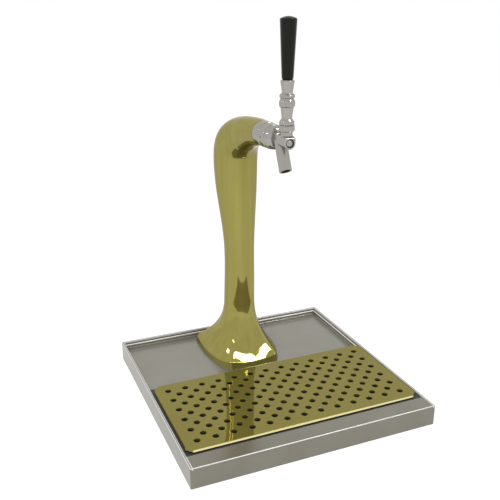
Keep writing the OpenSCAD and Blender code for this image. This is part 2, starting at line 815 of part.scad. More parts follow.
module inlet_tail() {
    bore = barb_r - barb_wall;
    color(chrome)
        translate([0, tower_y, 0])
            rotate_extrude($fn = round_facets)
                polygon([[bore, inlet_end_z], [line_r, inlet_end_z], [line_r, inlet_body_z],
                    [inlet_body_r, inlet_body_z], [inlet_body_r, line_start_z], [barb_r, line_start_z],
                    [barb_r, line_start_z + barb_len], [bore, line_start_z + barb_len]]);
}

// The line's route: up the column, round one bend and level onto the shank's tail
line_end_y = mouth_y + shank_in_len + seat_gap;
line_bend_y = line_end_y + barb_len + seat_gap;
line_column_y = line_bend_y + line_bend_r;
line_top_z = tap_z - line_bend_r;
line_free_z = line_start_z + barb_len;
function line_y(z) =
    let (t = max(0, (z - line_free_z)/(line_top_z - line_free_z)))
    tower_y + t*t*(3 - 2*t)*(line_column_y - tower_y);
line_route = concat(
    [for (i = [0:line_rise_rings])
        let (z = line_start_z + (line_top_z - line_start_z)*i/line_rise_rings) [line_y(z), z, 0]],
    [for (i = [1:line_bend_steps]) let (a = 90*i/line_bend_steps)
        [line_bend_y + line_bend_r*cos(a), line_top_z + line_bend_r*sin(a), a]],
    [[line_end_y, tap_z, 90]]);

module beer_line() {
    rings = len(line_route);
    inner = rings*line_facets;
    function ring(c, r) = [for (k = [0:line_facets - 1]) let (b = 360*k/line_facets)
        [r*cos(b), c[0] + r*sin(b)*cos(c[2]), c[1] + r*sin(b)*sin(c[2])]];
    faces = concat(tube_sides(rings, line_facets, 0, false), tube_sides(rings, line_facets, inner, true),
        rim_faces(line_facets, 0, inner, true),
        rim_faces(line_facets, (rings - 1)*line_facets, inner + (rings - 1)*line_facets, false));
    color(clear_line)
        polyhedron(points = concat([for (c = line_route) each ring(c, line_r)],
            [for (c = line_route) each ring(c, line_bore_r + seat_gap)]), faces = faces, convexity = 8);
}

module hose_clamp() {
    difference() {
        union() {
            cylinder(h = clamp_w, r = line_r + seat_gap + clamp_t, $fn = round_facets);
            translate([line_r + clamp_t, 0, clamp_w/2])
                rotate([90, 0, 0])
                    cylinder(h = 2*line_r, r = clamp_screw_r, center = true, $fn = round_facets);
        }
        translate([0, 0, -cut_over])
            cylinder(h = clamp_w + 2*cut_over, r = line_r + seat_gap, $fn = round_facets);
    }
}

module line_clamps() {
    color(steel) {
        translate([0, tower_y, line_start_z + clamp_w/2])
            hose_clamp();
        translate([0, line_end_y + clamp_w/2, tap_z])
            rotate([-90, 0, 0])
                hose_clamp();
    }
}

// Shank and collar

module neck_bush() {
    color(brass)
        turned_y([[shank_r + seat_gap, mouth_y], [bush_r, mouth_y], [bush_r, mouth_y + bush_len],
            [shank_r + seat_gap, mouth_y + bush_len]]);
}

module shank_washer() {
    low = mouth_y + bush_len;
    color(steel)
        turned_y([[shank_r + seat_gap, low], [shank_washer_r, low], [shank_washer_r, low + shank_washer_t],
            [shank_r + seat_gap, low + shank_washer_t]]);
}

module shank_nut() {
    color(brass)
        translate([0, mouth_y + bush_len + shank_washer_t, tap_z])
            rotate([-90, 0, 0])
                difference() {
                    cylinder(h = shank_nut_t, r = shank_nut_af/2/cos(30), $fn = 6);
                    translate([0, 0, -cut_over])
                        cylinder(h = shank_nut_t + 2*cut_over, r = shank_r + seat_gap, $fn = round_facets);
                }
}

module shank() {
    low = shank_out_y;
    high = mouth_y + shank_in_len;
    bore = barb_r - barb_wall;
    color(chrome)
        turned_y([[shank_bore_r, low], [shank_r - edge_chamfer, low], [shank_r, low + edge_chamfer],
            [shank_r, high], [barb_r, high], [barb_r, high + barb_len], [bore, high + barb_len],
            [bore, high - sheet_t], [shank_bore_r, high - 2*sheet_t]]);
}

module collar() {
    low = coupling_y;
    color(chrome)
        turned_y([[shank_r + seat_gap, low], [coupling_r, low], [collar_r, low + edge_chamfer],
            [collar_r, mouth_y - edge_chamfer], [collar_r - edge_chamfer/2, mouth_y],
            [shank_r + seat_gap, mouth_y]]);
}

module coupling_nut() {
    low = coupling_end_y;
    thread_y = shank_out_y + seat_gap;
    neck_r = tail_neck_r + tail_clear_gap;
    flange_r = tail_flange_r + tail_clear_gap;
    color(chrome)
        difference() {
            turned_y([[neck_r, low], [coupling_r - edge_chamfer, low],
                [coupling_r, low + edge_chamfer], [coupling_r, coupling_y - edge_chamfer/2],
                [coupling_r - edge_chamfer/2, coupling_y], [shank_r + seat_gap, coupling_y],
                [shank_r + seat_gap, thread_y], [flange_r, thread_y], [flange_r, coupling_seat_y],
                [neck_r, coupling_seat_y]]);
            for (side = [-1, 1])
                translate([side*(coupling_r - spanner_depth_len), low + coupling_len/2, tap_z])
                    rotate([0, side*90, 0])
                        cylinder(h = spanner_depth_len + cut_over, r = spanner_r, $fn = round_facets);
        }
}

module tail_gasket() {
    outer_r = shank_r - edge_chamfer;
    color(rubber)
        turned_y([[outer_r - tail_gasket_wall, body_back_y], [outer_r, body_back_y],
            [outer_r, shank_out_y], [outer_r - tail_gasket_wall, shank_out_y]]);
}

// Tap

module tap_block() {
    top = tap_z + block_top_h;
    intersection() {
        translate([-block_w/2, 0, 0])
            rotate([90, 0, 90])
                linear_extrude(height = block_w)
                    polygon([[front_y, tap_z - block_w], [front_y, top],
                        [front_y + block_slope_len, top + block_step_h],
                        [block_back_y, top + block_step_h], [block_back_y, tap_z - block_w]]);
        union() {
            translate([0, block_back_y, tap_z])
                rotate([90, 0, 0])
                    cylinder(h = block_back_y - front_y, r = block_w/2, $fn = round_facets);
            span([-block_w/2, front_y, tap_z], [block_w/2, block_back_y, top + block_step_h]);
        }
    }
}

module spout_tube(r, low, high) {
    translate([0, spout_y, spout_z])
        rotate([-spout_lean, 0, 0])
            translate([0, 0, low])
                cylinder(h = high - low, r = r, $fn = round_facets);
}

module tap_body() {
    spout_len = spout_drop_h/cos(spout_lean);
    round_low = block_back_y - shoulder_round_len;
    seat_z = shoulder_r - block_w/2;
    color(chrome)
        difference() {
            union() {
                turned_y(concat(
                    [[0, body_back_y], [tail_flange_r, body_back_y],
                     [tail_flange_r, body_back_y - tail_flange_len],
                     [tail_neck_r, body_back_y - tail_flange_len], [tail_neck_r, shoulder_y],
                     [shoulder_r - edge_chamfer, shoulder_y], [shoulder_r, shoulder_y - edge_chamfer]],
                    [for (i = [0:4]) let (a = 90*i/4)
                        [shoulder_r - seat_z*(1 - cos(a)), block_back_y - shoulder_round_len*sin(a)]],
                    [[0, round_low]]));
                tap_block();
                difference() {
                    spout_tube(spout_r, -spout_r, spout_len);
                    // Slanted cut across the mouth
                    translate([0, spout_y, spout_z])
                        rotate([-mouth_tilt, 0, 0])
                            translate([-2*spout_r, -2*spout_r, -4*spout_r])
                                cube([4*spout_r, 4*spout_r, 4*spout_r]);
                }
            }
            // Inlet bore behind the seat, and the main bore in front of it
            turned_y([[0, seat_y], [inlet_bore_r, seat_y], [inlet_bore_r, body_back_y + cut_over],
                [0, body_back_y + cut_over]]);
            turned_y([[0, front_y - cut_over], [bore_r, front_y - cut_over], [bore_r, seat_y + cut_over],
                [0, seat_y + cut_over]]);
            // Outlet bore, and the narrower throat above it
            spout_tube(spout_bore_r, -2*spout_r, outlet_len);
            spout_tube(spout_bore_r - throat_step_w, outlet_len - cut_over, spout_len);
            // Threaded hole for the bonnet, with a ledge for its washer
            translate([0, lever_y, tap_z + bonnet_washer_low])
                cylinder(h = bonnet_low - bonnet_washer_low + cut_over, r = spigot_r + seat_gap,
                    $fn = round_facets);
        }
}

module valve_seat() {
    color(nylon)
        turned_y([[seat_r, seat_y], [inlet_bore_r - seat_gap, seat_y],
            [inlet_bore_r - seat_gap, seat_y + seat_len], [seat_r, seat_y + seat_len]]);
}

module front_plug() {
    low = front_y + plug_sunk_len;
    r = bore_r - seat_gap;
    color(chrome)
        turned_y([[0, low], [plug_face_share*r, low], [r, low + plug_cone_len], [r, low + plug_len],
            [0, low + plug_len]]);
}

module bonnet() {
    low = bonnet_low;
    bead_edge = bonnet_bead_high - edge_chamfer;
    inner_r = bonnet_r - edge_chamfer/4;
    color(chrome)
        difference() {
            union() {
                turned_lever([[0, low - spigot_len], [spigot_r, low - spigot_len], [spigot_r, low],
                    [bonnet_neck_r, low], [bonnet_neck_r, bonnet_bead_low],
                    [bonnet_r - bead_chamfer, bonnet_bead_low], [bonnet_r, bonnet_bead_low + bead_chamfer],
                    [bonnet_r, bead_edge], [0, bead_edge]]);
                // Dome about the ball's centre
                intersection() {
                    turned_lever([[0, bonnet_bead_low], [bonnet_r - bead_chamfer, bonnet_bead_low],
                        [inner_r, bonnet_bead_low + bead_chamfer], [inner_r, pivot_h + dome_r],
                        [0, pivot_h + dome_r]]);
                    translate([0, lever_y, pivot_z])
                        sphere(r = dome_r, $fn = round_facets);
                }
            }
            // Seat of the ball, open below
            translate([0, lever_y, pivot_z])
                sphere(r = ball_seat_r, $fn = round_facets);
            turned_lever([[0, low - spigot_len - cut_over], [ball_seat_r, low - spigot_len - cut_over],
                [ball_seat_r, pivot_h], [0, pivot_h]]);
            // Slot that the lever's stem swings in
            translate([0, lever_y, pivot_z])
                rotate([90, 0, 90])
                    translate([0, 0, -slot_half_w])
                        linear_extrude(height = 2*slot_half_w)
                            polygon(concat([[slot_half_w, 0]],
                                [for (i = [0:slot_steps])
                                    let (a = 90 - slot_half_deg
                                        + (2*slot_half_deg + lever_swing)*i/slot_steps)
                                    slot_reach*[cos(a), sin(a)]],
                                [slot_half_w*[-cos(lever_swing), -sin(lever_swing)]]));
        }
}

module bonnet_washer() {
    high = bonnet_low - spigot_len;
    color(rubber)
        turned_lever([[bonnet_washer_in_r, bonnet_washer_low], [spigot_r, bonnet_washer_low],
            [spigot_r, high], [bonnet_washer_in_r, high]]);
}

// Valve shaft, pushed back by the lever's tongue

module valve_shaft() {
    back_y = shuttle_front_y + shuttle_len;
    stem_end = seat_y + seat_len + body_gap + seat_washer_t + shaft_nut_t;
    color(chrome)
        difference() {
            turned_y([[0, shuttle_front_y], [shuttle_r - edge_chamfer, shuttle_front_y],
                [shuttle_r, shuttle_front_y + edge_chamfer], [shuttle_r, back_y - edge_chamfer],
                [stem_r + edge_chamfer, back_y], [stem_r, back_y + edge_chamfer], [stem_r, stem_end],
                [0, stem_end]]);
            // Flat along the top, below the lever's ball
            span([-bore_r, shuttle_front_y - cut_over, tap_z + shaft_flat_h],
                [bore_r, back_y + cut_over, tap_z + bore_r + cut_over]);
            // Pocket that the tip of the lever's tongue works in
            span([-pocket_back, lever_y - pocket_front, tap_z - bore_r/2],
                [pocket_back, lever_y + pocket_back, tap_z + bore_r + cut_over]);
        }
}

module seat_washer() {
    low = seat_y + seat_len + body_gap;
    color(rubber)
        turned_y([[stem_r + seat_gap, low], [washer_r, low], [washer_r, low + seat_washer_t],
            [stem_r + seat_gap, low + seat_washer_t]]);
}

module shaft_nut() {
    low = seat_y + seat_len + body_gap + seat_washer_t;
    color(steel)
        translate([0, low, tap_z])
            rotate([-90, 0, 0])
                difference() {
                    cylinder(h = shaft_nut_t, r = shaft_nut_r, $fn = 6);
                    translate([0, 0, -cut_over])
                        cylinder(h = shaft_nut_t + 2*cut_over, r = stem_r + seat_gap, $fn = round_facets);
                }
}

// Lever and handle

module lever() {
    ball_top = pivot_h + ball_r/2;
    thread_r = stud_r + seat_gap;
    color(chrome)
        difference() {
            union() {
                translate([0, lever_y, pivot_z])
                    sphere(r = ball_r, $fn = round_facets);
                turned_lever([[0, 0], [tongue_r, 0], [tongue_r, pivot_h], [0, pivot_h]]);
                translate([0, lever_y, tap_z])
                    sphere(r = tongue_tip_r, $fn = round_facets);
                difference() {
                    turned_lever([[0, cup_low], [cup_r - edge_chamfer, cup_low],
                        [cup_r, cup_low + edge_chamfer],
                        [cup_r, cup_top - 2*bead_chamfer], [cup_r - bead_chamfer, cup_top - bead_chamfer/2],
                        [cone_small_r, cone_low], [cone_large_r - edge_chamfer/2, cone_high - edge_chamfer],
                        [cone_large_r - edge_chamfer/2, cone_high], [0, cone_high]]);
                    translate([0, lever_y, pivot_z])
                        sphere(r = cup_inner_r, $fn = round_facets);
                }
                turned_lever([[0, ball_top], [lever_stem_r, ball_top], [lever_stem_r, cone_low],
                    [0, cone_low]]);
            }
            // Threaded hole for the handle's stud
            translate([0, lever_y, tap_z + stud_low])
                cylinder(h = cone_high - stud_low + cut_over, r = thread_r, $fn = round_facets);
        }
}

module jam_nut() {
    color(chrome)
        turned_lever([[stud_r + seat_gap, jam_low], [cone_large_r, jam_low], [jam_r, jam_low + bead_chamfer],
            [jam_r, jam_high - 2*bead_chamfer], [groove_r, jam_high], [stud_r + seat_gap, jam_high]]);
}

module ferrule() {
    bead_high = ferrule_low + ferrule_bead_h;
    color(chrome)
        turned_lever([[stud_r + seat_gap, jam_high], [groove_r, jam_high], [groove_r, ferrule_low],
            [ferrule_bead_r, ferrule_low + bead_chamfer], [ferrule_bead_r, bead_high - bead_chamfer],
            [cone_small_r + edge_chamfer/4, bead_high + bead_chamfer],
            [ferrule_r, ferrule_high - edge_chamfer],
            [ferrule_r - edge_chamfer, ferrule_high], [stud_r + seat_gap, ferrule_high]]);
}

module handle_stud() {
    color(steel)
        translate([0, lever_y, tap_z + stud_low])
            cylinder(h = stud_high - stud_low, r = stud_r, $fn = round_facets);
}

module handle_insert() {
    color(brass)
        turned_lever([[stud_r + seat_gap, ferrule_high], [stud_r + insert_wall, ferrule_high],
            [stud_r + insert_wall, handle_low + insert_len], [0, handle_low + insert_len],
            [0, stud_high + seat_gap], [stud_r + seat_gap, stud_high + seat_gap]]);
}

module handle() {
    insert_r = stud_r + insert_wall + seat_gap;
    crown_r = handle_large_r - handle_round_r;
    color(black_plastic)
        turned_lever(concat(
            [[insert_r, ferrule_high], [handle_neck_r, ferrule_high],
             [handle_neck_r, handle_low - edge_chamfer],
             [handle_small_r, handle_low]],
            [for (i = [0:4]) let (a = 90*i/4)
                [crown_r + handle_round_r*cos(a), handle_high - handle_round_r + handle_round_r*sin(a)]],
            [for (i = [1:5]) let (t = i/5)
                [crown_r*(1 - t), handle_high + handle_crown_h*(1 - (1 - t)*(1 - t))]],
            [[0, handle_low + insert_len + seat_gap], [insert_r, handle_low + insert_len + seat_gap]]));
}

// Drip pan and grille

// A round-cornered upright prism
module rounded_block(half_w, front, back, low, high, r) {
    translate([0, 0, low])
        linear_extrude(height = high - low)
            union() {
                translate([-half_w + r, front])
                    square([2*(half_w - r), back - front]);
                translate([-half_w, front + r])
                    square([2*half_w, back - front - 2*r]);
                for (sx = [-1, 1], y = [front + r, back - r])
                    translate([sx*(half_w - r), y])
                        circle(r = r, $fn = round_facets);
            }
}

module drip_pan() {
    color(pan_black)
        difference() {
            union() {
                rounded_block(pan_wall_half_w, pan_wall_front_y, pan_wall_back_y, pan_floor_z, flange_z,
                    pan_corner_r);
                span([-pan_half_w, pan_front_y, flange_z - pan_t], [pan_half_w, pan_back_y, flange_z]);
            }
            rounded_block(pan_wall_half_w - pan_t, pan_wall_front_y + pan_t, pan_wall_back_y - pan_t,
                pan_floor_z + pan_t, flange_z + cut_over, pan_corner_r - pan_t);
        }
}

module drip_grille() {
    half_w = grille_w/2;
    half_d = grille_d/2;
    cut = grille_chamfer;
    color(brass)
        translate([0, grille_y, grille_z])
            linear_extrude(height = grille_t)
                difference() {
                    polygon([[-half_w + cut, -half_d], [half_w - cut, -half_d], [half_w, -half_d + cut],
                        [half_w, half_d - cut], [half_w - cut, half_d], [-half_w + cut, half_d],
                        [-half_w, half_d - cut], [-half_w, -half_d + cut]]);
                    for (j = [0:row_count - 1])
                        let (n = hole_count - j % 2)
                            for (i = [0:n - 1])
                                translate([(i - (n - 1)/2)*hole_pitch, (j - (row_count - 1)/2)*row_pitch])
                                    circle(d = hole_d, $fn = round_facets);
                }
}

module grille_pads() {
    pad_x = grille_w/2 - pad_d/2 - pad_inset_w;
    color(rubber)
        translate([0, grille_y, grille_z - pad_t])
            for (x = [-pad_x, pad_x], y = [-grille_d/3, 0, grille_d/3])
                translate([x, y, 0])
                    cylinder(h = pad_t, r = pad_d/2, $fn = round_facets);
}

tray_shell();
deck_plate();
pan_rail();
corner_brackets();
rubber_feet();
foot_screws();
foot_nuts();
backing_plate();
tower_shell();
foot_ring();
foot_gasket();
tower_bolts();
tower_washers();
line_grommet();
inlet_tail();
beer_line();
line_clamps();
neck_bush();
shank_washer();
shank_nut();
shank();
collar();
coupling_nut();
tail_gasket();
tap_body();
valve_seat();
front_plug();
bonnet();
bonnet_washer();
valve_shaft();
seat_washer();
shaft_nut();
lever();
jam_nut();
ferrule();
handle_stud();
handle_insert();
handle();
drip_pan();
drip_grille();
grille_pads();
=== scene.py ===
"""Looks of the draft beer tower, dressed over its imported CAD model.

The tower is a polished brass swan neck with a chrome forward tap and a black handle. It stands on a square
steel drip tray, with a perforated brass plate over a black lift-out pan. All lengths are in metres, in the
frame of the part: +X to the drinker's right, +Y to the back, +Z up, with the counter at z = 0.
"""

import logging
import math
from dataclasses import dataclass
from enum import Enum
from typing import Iterable, Optional, Sequence

import bmesh
import bpy
from mathutils import Matrix, Vector


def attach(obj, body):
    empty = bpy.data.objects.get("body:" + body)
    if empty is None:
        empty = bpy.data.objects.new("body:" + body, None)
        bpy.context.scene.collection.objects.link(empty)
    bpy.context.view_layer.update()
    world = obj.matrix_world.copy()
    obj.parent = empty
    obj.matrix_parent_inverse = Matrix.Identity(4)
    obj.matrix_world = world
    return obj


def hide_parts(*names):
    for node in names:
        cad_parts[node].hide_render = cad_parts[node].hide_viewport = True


LOG = logging.getLogger("beer_tower")
WELD = 1e-6
SEAM = 2e-5
MIX_LOW, MIX_HIGH, MIX_RESULT = 6, 7, 2

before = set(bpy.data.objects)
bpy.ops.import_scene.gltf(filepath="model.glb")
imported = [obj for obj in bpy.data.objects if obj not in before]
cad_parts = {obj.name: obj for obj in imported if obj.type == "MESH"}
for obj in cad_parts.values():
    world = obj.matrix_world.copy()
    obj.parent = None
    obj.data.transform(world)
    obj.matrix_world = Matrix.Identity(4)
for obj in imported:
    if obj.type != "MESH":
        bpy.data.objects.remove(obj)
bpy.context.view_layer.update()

Point = tuple[float, float, float]
Loop = list[Point]


def mm(length: float) -> float:
    """Metres from millimetres.

    Args:
        length: A length in millimetres.

    Returns:
        The same length in metres.
    """
    return length * 0.001


class Body(Enum):
    """Rigid bodies of the part that a piece can ride on."""

    TOWER = "tower"
    LEVER = "tap_lever"
    VALVE = "valve"
    PAN = "pan"
    GRILLE = "grille"


class Axis(Enum):
    """Axes of the tower's frame that a turned piece can lie along."""

    UP = "up"
    BACK = "back"


# Curves and outlines


class SmoothCurve:
    """A curve without kinks through a list of states, each a tuple of numbers."""

    def __init__(self, knots: Sequence[float], states: Sequence[Sequence[float]]) -> None:
        """Solves for the curve's second derivatives.

        Args:
            knots: Rising parameter value at each state.
            states: The numbers at each knot.
        """
        self.knots = list(knots)
        self.states = [list(state) for state in states]
        self.bends = [self._second(column) for column in zip(*self.states)]

    def _second(self, values: Sequence[float]) -> list[float]:
        """Second derivatives of one number along the curve, zero at both ends.

        Args:
            values: The number at each knot.

        Returns:
            One second derivative for each knot.
        """
        x, n = self.knots, len(values)
        carry = [0.0] * n
        out = [0.0] * n
        for i in range(1, n - 1):
            low, high = x[i] - x[i - 1], x[i + 1] - x[i]
            rate = 6 * ((values[i + 1] - values[i]) / high - (values[i] - values[i - 1]) / low)
            pivot = 2 * (low + high) - low * carry[i - 1]
            carry[i] = high / pivot
            out[i] = (rate - low * out[i - 1]) / pivot
        for i in range(n - 2, 0, -1):
            out[i] -= carry[i] * out[i + 1]
        return out

    def at(self, u: float) -> list[float]:
        """The state at a parameter value.

        Args:
            u: Parameter value between the first knot and the last.

        Returns:
            The numbers there.
        """
        x = self.knots
        i = max(k for k in range(len(x) - 1) if x[k] <= u or k == 0)
        h = x[i + 1] - x[i]
        a, b = (x[i + 1] - u) / h, (u - x[i]) / h
        out = []
        for column, bend in zip(zip(*self.states), self.bends):
            out.append(a * column[i] + b * column[i + 1]
                       + ((a**3 - a) * bend[i] + (b**3 - b) * bend[i + 1]) * h * h / 6)
        return out


def arc(start: float, end: float, steps: int) -> list[float]:
    """Angles of an arc, both ends included.

    Args:
        start: First angle in degrees.
        end: Last angle in degrees.
        steps: Number of segments.

    Returns:
        The angles in radians.
    """
    return [math.radians(start + (end - start) * i / steps) for i in range(steps + 1)]


def quarter(radius: float, steps: int) -> list[tuple[float, float]]:
    """A quarter round between two square faces, from the first face to the second.

    Args:
        radius: Its radius.
        steps: Number of segments.

    Returns:
        How far each point is from the first face, and how far from the second.
    """
    return [(radius * (1 - math.cos(a)), radius * (1 - math.sin(a))) for a in arc(0, 90, steps)]


@dataclass(frozen=True)
class RoundedBox:
    """Level rectangle with round corners, which can grow outwards on its sides."""

    half_w: float
    front: float
    back: float
    corner: float
    least_corner: float = 0.0
    front_stays: bool = False
    steps: int = 6

    def loop(self, grow: float, z: float, corner: Optional[float] = None) -> Loop:
        """Points of the grown rectangle, counter-clockwise from its front left corner.

        Args:
            grow: How far its sides go outwards.
            z: Its height.
            corner: Radius of its corners, where that doesn't grow with it.

        Returns:
            The points.
        """
        radius = max(self.corner + grow, self.least_corner) if corner is None else corner
        half_w, back = self.half_w + grow, self.back + grow
        front = self.front if self.front_stays else self.front - grow
        middles = [(-half_w + radius, front + radius, 180), (half_w - radius, front + radius, 270),
                   (half_w - radius, back - radius, 0), (-half_w + radius, back - radius, 90)]
        return [(x + radius * math.cos(a), y + radius * math.sin(a), z)
                for x, y, start in middles for a in arc(start, start + 90, self.steps)]


# Workshop: one piece under work, with the operators that shape it


def paint(obj: bpy.types.Object, material: bpy.types.Material) -> None:
    """Gives an object one material all over.

    Args:
        obj: The object.
        material: Its material.
    """
    obj.data.materials.clear()
    obj.data.materials.append(material)
    for face in obj.data.polygons:
        face.material_index = 0


class Piece:
    """One visible piece, from its first primitive to its place on a body."""

    def __init__(self, name: str) -> None:
        """Starts the piece from a small plane in edit mode, with nothing selected.

        Args:
            name: The piece's name.
        """
        bpy.ops.object.select_all(action="DESELECT")
        bpy.ops.mesh.primitive_plane_add(size=mm(1))
        self.obj = bpy.context.object
        self.obj.name = name
        self.obj.data.name = name

    # Editing

    def select(self) -> None:
        """Selects this piece alone, in object mode, and makes it active."""
        if bpy.context.mode != "OBJECT":
            bpy.ops.object.mode_set(mode="OBJECT")
        bpy.ops.object.select_all(action="DESELECT")
        self.obj.select_set(True)
        bpy.context.view_layer.objects.active = self.obj

    def edit(self) -> None:
        """Goes into edit mode on this piece alone, with all of it selected."""
        self.select()
        bpy.ops.object.mode_set(mode="EDIT")
        bpy.ops.mesh.select_all(action="SELECT")

    def loft(self, loops: Sequence[Loop], closed: bool = False,
             caps: tuple[bool, bool] = (False, False)) -> None:
        """Extrudes a first loop of edges through the places of the others.

        Args:
            loops: Loops of equally many points, in order.
            closed: Whether the loops end on the first one again.
            caps: Whether the first and the last loop are filled.
        """
        self.edit()
        bpy.ops.mesh.delete(type="VERT")
        count = len(loops[0])
        bpy.ops.mesh.primitive_circle_add(vertices=count, radius=mm(1))
        mesh = bmesh.from_edit_mesh(self.obj.data)
        place = mesh.verts.layers.int.get("place") or mesh.verts.layers.int.new("place")
        for vertex in mesh.verts:
            vertex[place] = round(math.atan2(vertex.co.y, vertex.co.x) / (2 * math.pi) * count) % count
            vertex.co = loops[0][vertex[place]]
        bmesh.update_edit_mesh(self.obj.data)
        if caps[0]:
            bpy.ops.mesh.edge_face_add()
            bpy.ops.mesh.duplicate()
            bpy.ops.mesh.delete(type="ONLY_FACE")
        for loop in [*loops[1:], *(loops[:1] if closed else [])]:
            if not any(e.select for e in bmesh.from_edit_mesh(self.obj.data).edges):
                self._select_last(count)
            bpy.ops.mesh.extrude_edges_move()
            mesh = bmesh.from_edit_mesh(self.obj.data)
            place = mesh.verts.layers.int["place"]
            for vertex in mesh.verts:
                if vertex.select:
                    vertex.co = loop[vertex[place]]
            bmesh.update_edit_mesh(self.obj.data)
        if caps[1]:
            bpy.ops.mesh.edge_face_add()
        self.weld()

    def _select_last(self, count: int) -> None:
        """Selects the newest loop.

        Args:
            count: Number of points in the loop.
        """
        mesh = bmesh.from_edit_mesh(self.obj.data)
        mesh.verts.ensure_lookup_table()
        for vertex in mesh.verts:
            vertex.select_set(vertex.index >= len(mesh.verts) - count)
        mesh.select_flush(True)
        bmesh.update_edit_mesh(self.obj.data)

    def weld(self, distance: float = WELD) -> None:
        """Merges doubled points, turns all faces outwards and leaves edit mode.

        Args:
            distance: Points nearer than this are merged.
        """
        bpy.ops.mesh.select_all(action="SELECT")
        bpy.ops.mesh.remove_doubles(threshold=distance)
        bpy.ops.mesh.normals_make_consistent(inside=False)
        bpy.ops.object.mode_set(mode="OBJECT")

    def turned(self, outline: Sequence[Sequence[float]], steps: int = 96) -> None:
        """Draws an outline by extruding a point, rounds its corners and spins it about +Z.

        Args:
            outline: Points [radius, height] or [radius, height, rounding], in order.
            steps: Segments round the piece.
        """
        self.edit()
        bpy.ops.mesh.merge(type="CENTER")
        mesh = bmesh.from_edit_mesh(self.obj.data)
        for vertex in mesh.verts:
            vertex.co = (outline[0][0], 0, outline[0][1])
            vertex.select_set(True)
        bmesh.update_edit_mesh(self.obj.data)
        for low, high in zip(outline, outline[1:]):
            step = (high[0] - low[0], 0, high[1] - low[1])
            bpy.ops.mesh.extrude_region_move(TRANSFORM_OT_translate={"value": step})
        for point in outline:
            if len(point) > 2:
                self._select_near((point[0], 0, point[1]))
                bpy.ops.mesh.bevel(affect="VERTICES", offset=point[2], offset_type="OFFSET", segments=4,
                                   profile=0.5, clamp_overlap=True)
        bpy.ops.mesh.select_all(action="SELECT")
        bpy.ops.mesh.spin(steps=steps, angle=2 * math.pi, center=(0, 0, 0), axis=(0, 0, 1))
        self.weld()

    def _select_near(self, place: Sequence[float]) -> None:
        """Selects the one vertex at a place.

        Args:
            place: Where it is.
        """
        mesh = bmesh.from_edit_mesh(self.obj.data)
        near = min(mesh.verts, key=lambda vertex: (vertex.co - Vector(place)).length)
        for vertex in mesh.verts:
            vertex.select_set(vertex is near)
        mesh.select_flush(False)
        bmesh.update_edit_mesh(self.obj.data)

    # Placing

    def move(self, to: Point, lean: float = 0.0, axis: Axis = Axis.UP) -> None:
        """Moves the piece to its place and applies it to the mesh.

        Args:
            to: Where the piece's own origin goes.
            lean: Turn about the X axis in degrees, after the piece's axis is chosen.
            axis: The axis that the piece's own +Z lies along.
        """
        turn = -90.0 if axis is Axis.BACK else 0.0
        self.obj.matrix_world = Matrix.Translation(to) @ Matrix.Rotation(math.radians(turn + lean), 4, "X")
        self.apply_place()

    def apply_place(self) -> None:
        """Applies the piece's place and turn to its mesh."""
        self.select()
        bpy.ops.object.transform_apply(location=True, rotation=True, scale=True)

    def slice(self, at: Point, normal: Point) -> None:
        """Cuts the piece with a plane, drops the part behind the plane and fills the cut.

        Args:
            at: A point on the plane.
            normal: The plane's direction, towards the part that stays.
        """
        self.edit()
        bpy.ops.mesh.bisect(plane_co=at, plane_no=normal, use_fill=True, clear_inner=True)
        self.weld()

    def copies(self, places: Iterable[Point]) -> None:
        """Joins copies of the piece, each with its own mesh, moved to further places.

        Args:
            places: Offsets of the copies from the piece.
        """
        made = []
        for place in places:
            self.select()
            bpy.ops.object.duplicate()
            twin = bpy.context.object
            twin.location = place
            made.append(twin)
        self.select()
        for twin in made:
            twin.select_set(True)
        bpy.ops.object.transform_apply(location=True, rotation=True, scale=True)
        bpy.context.view_layer.objects.active = self.obj
        bpy.ops.object.join()

    def absorb(self, other: "Piece") -> None:
        """Joins another piece's mesh to this one along the edges that they share.

        Args:
            other: The other piece, which is used up.
        """
        self.select()
        other.obj.select_set(True)
        bpy.ops.object.join()
        self.edit()
        self.weld(SEAM)

    # Finishing

    def modifier(self, kind: str, **values: object) -> None:
        """Adds a modifier, sets its values and applies it.

        Args:
            kind: The modifier's type.
            **values: Its settings.
        """
        self.select()
        made = self.obj.modifiers.new(kind.lower(), kind)
        for key, value in values.items():
            setattr(made, key, value)
        bpy.ops.object.modifier_apply(modifier=made.name)

    def join(self, other: "Piece", operation: str = "UNION") -> None:
        """Joins another closed piece to this one, or cuts it out.

        Args:
            other: The other piece, which is used up.
            operation: UNION or DIFFERENCE.
        """
        self.modifier("BOOLEAN", operation=operation, object=other.obj, solver="MANIFOLD")
        bpy.data.objects.remove(other.obj, do_unlink=True)

    def finish(self, sharp: float, material: bpy.types.Material, body: Body, slot: str, *nodes: str) -> None:
        """Shades and dresses the piece, puts it on its body and lets it stand for CAD nodes.

        Args:
            sharp: Smallest angle in degrees that stays a sharp edge.
            material: Its material.
            body: The body it rides on.
            slot: The record's material slot. It is not used.
            *nodes: The CAD nodes that it stands for.
        """
        self.select()
        bpy.ops.object.shade_smooth_by_angle(angle=math.radians(sharp))
        self.modifier("WEIGHTED_NORMAL", mode="FACE_AREA", weight=50, keep_sharp=True)
        paint(self.obj, material)
        if nodes:
            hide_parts(*nodes)
        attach(self.obj, body.value)
        LOG.info("%s: %d faces on %s", self.obj.name, len(self.obj.data.polygons), body.value)


# Finishes


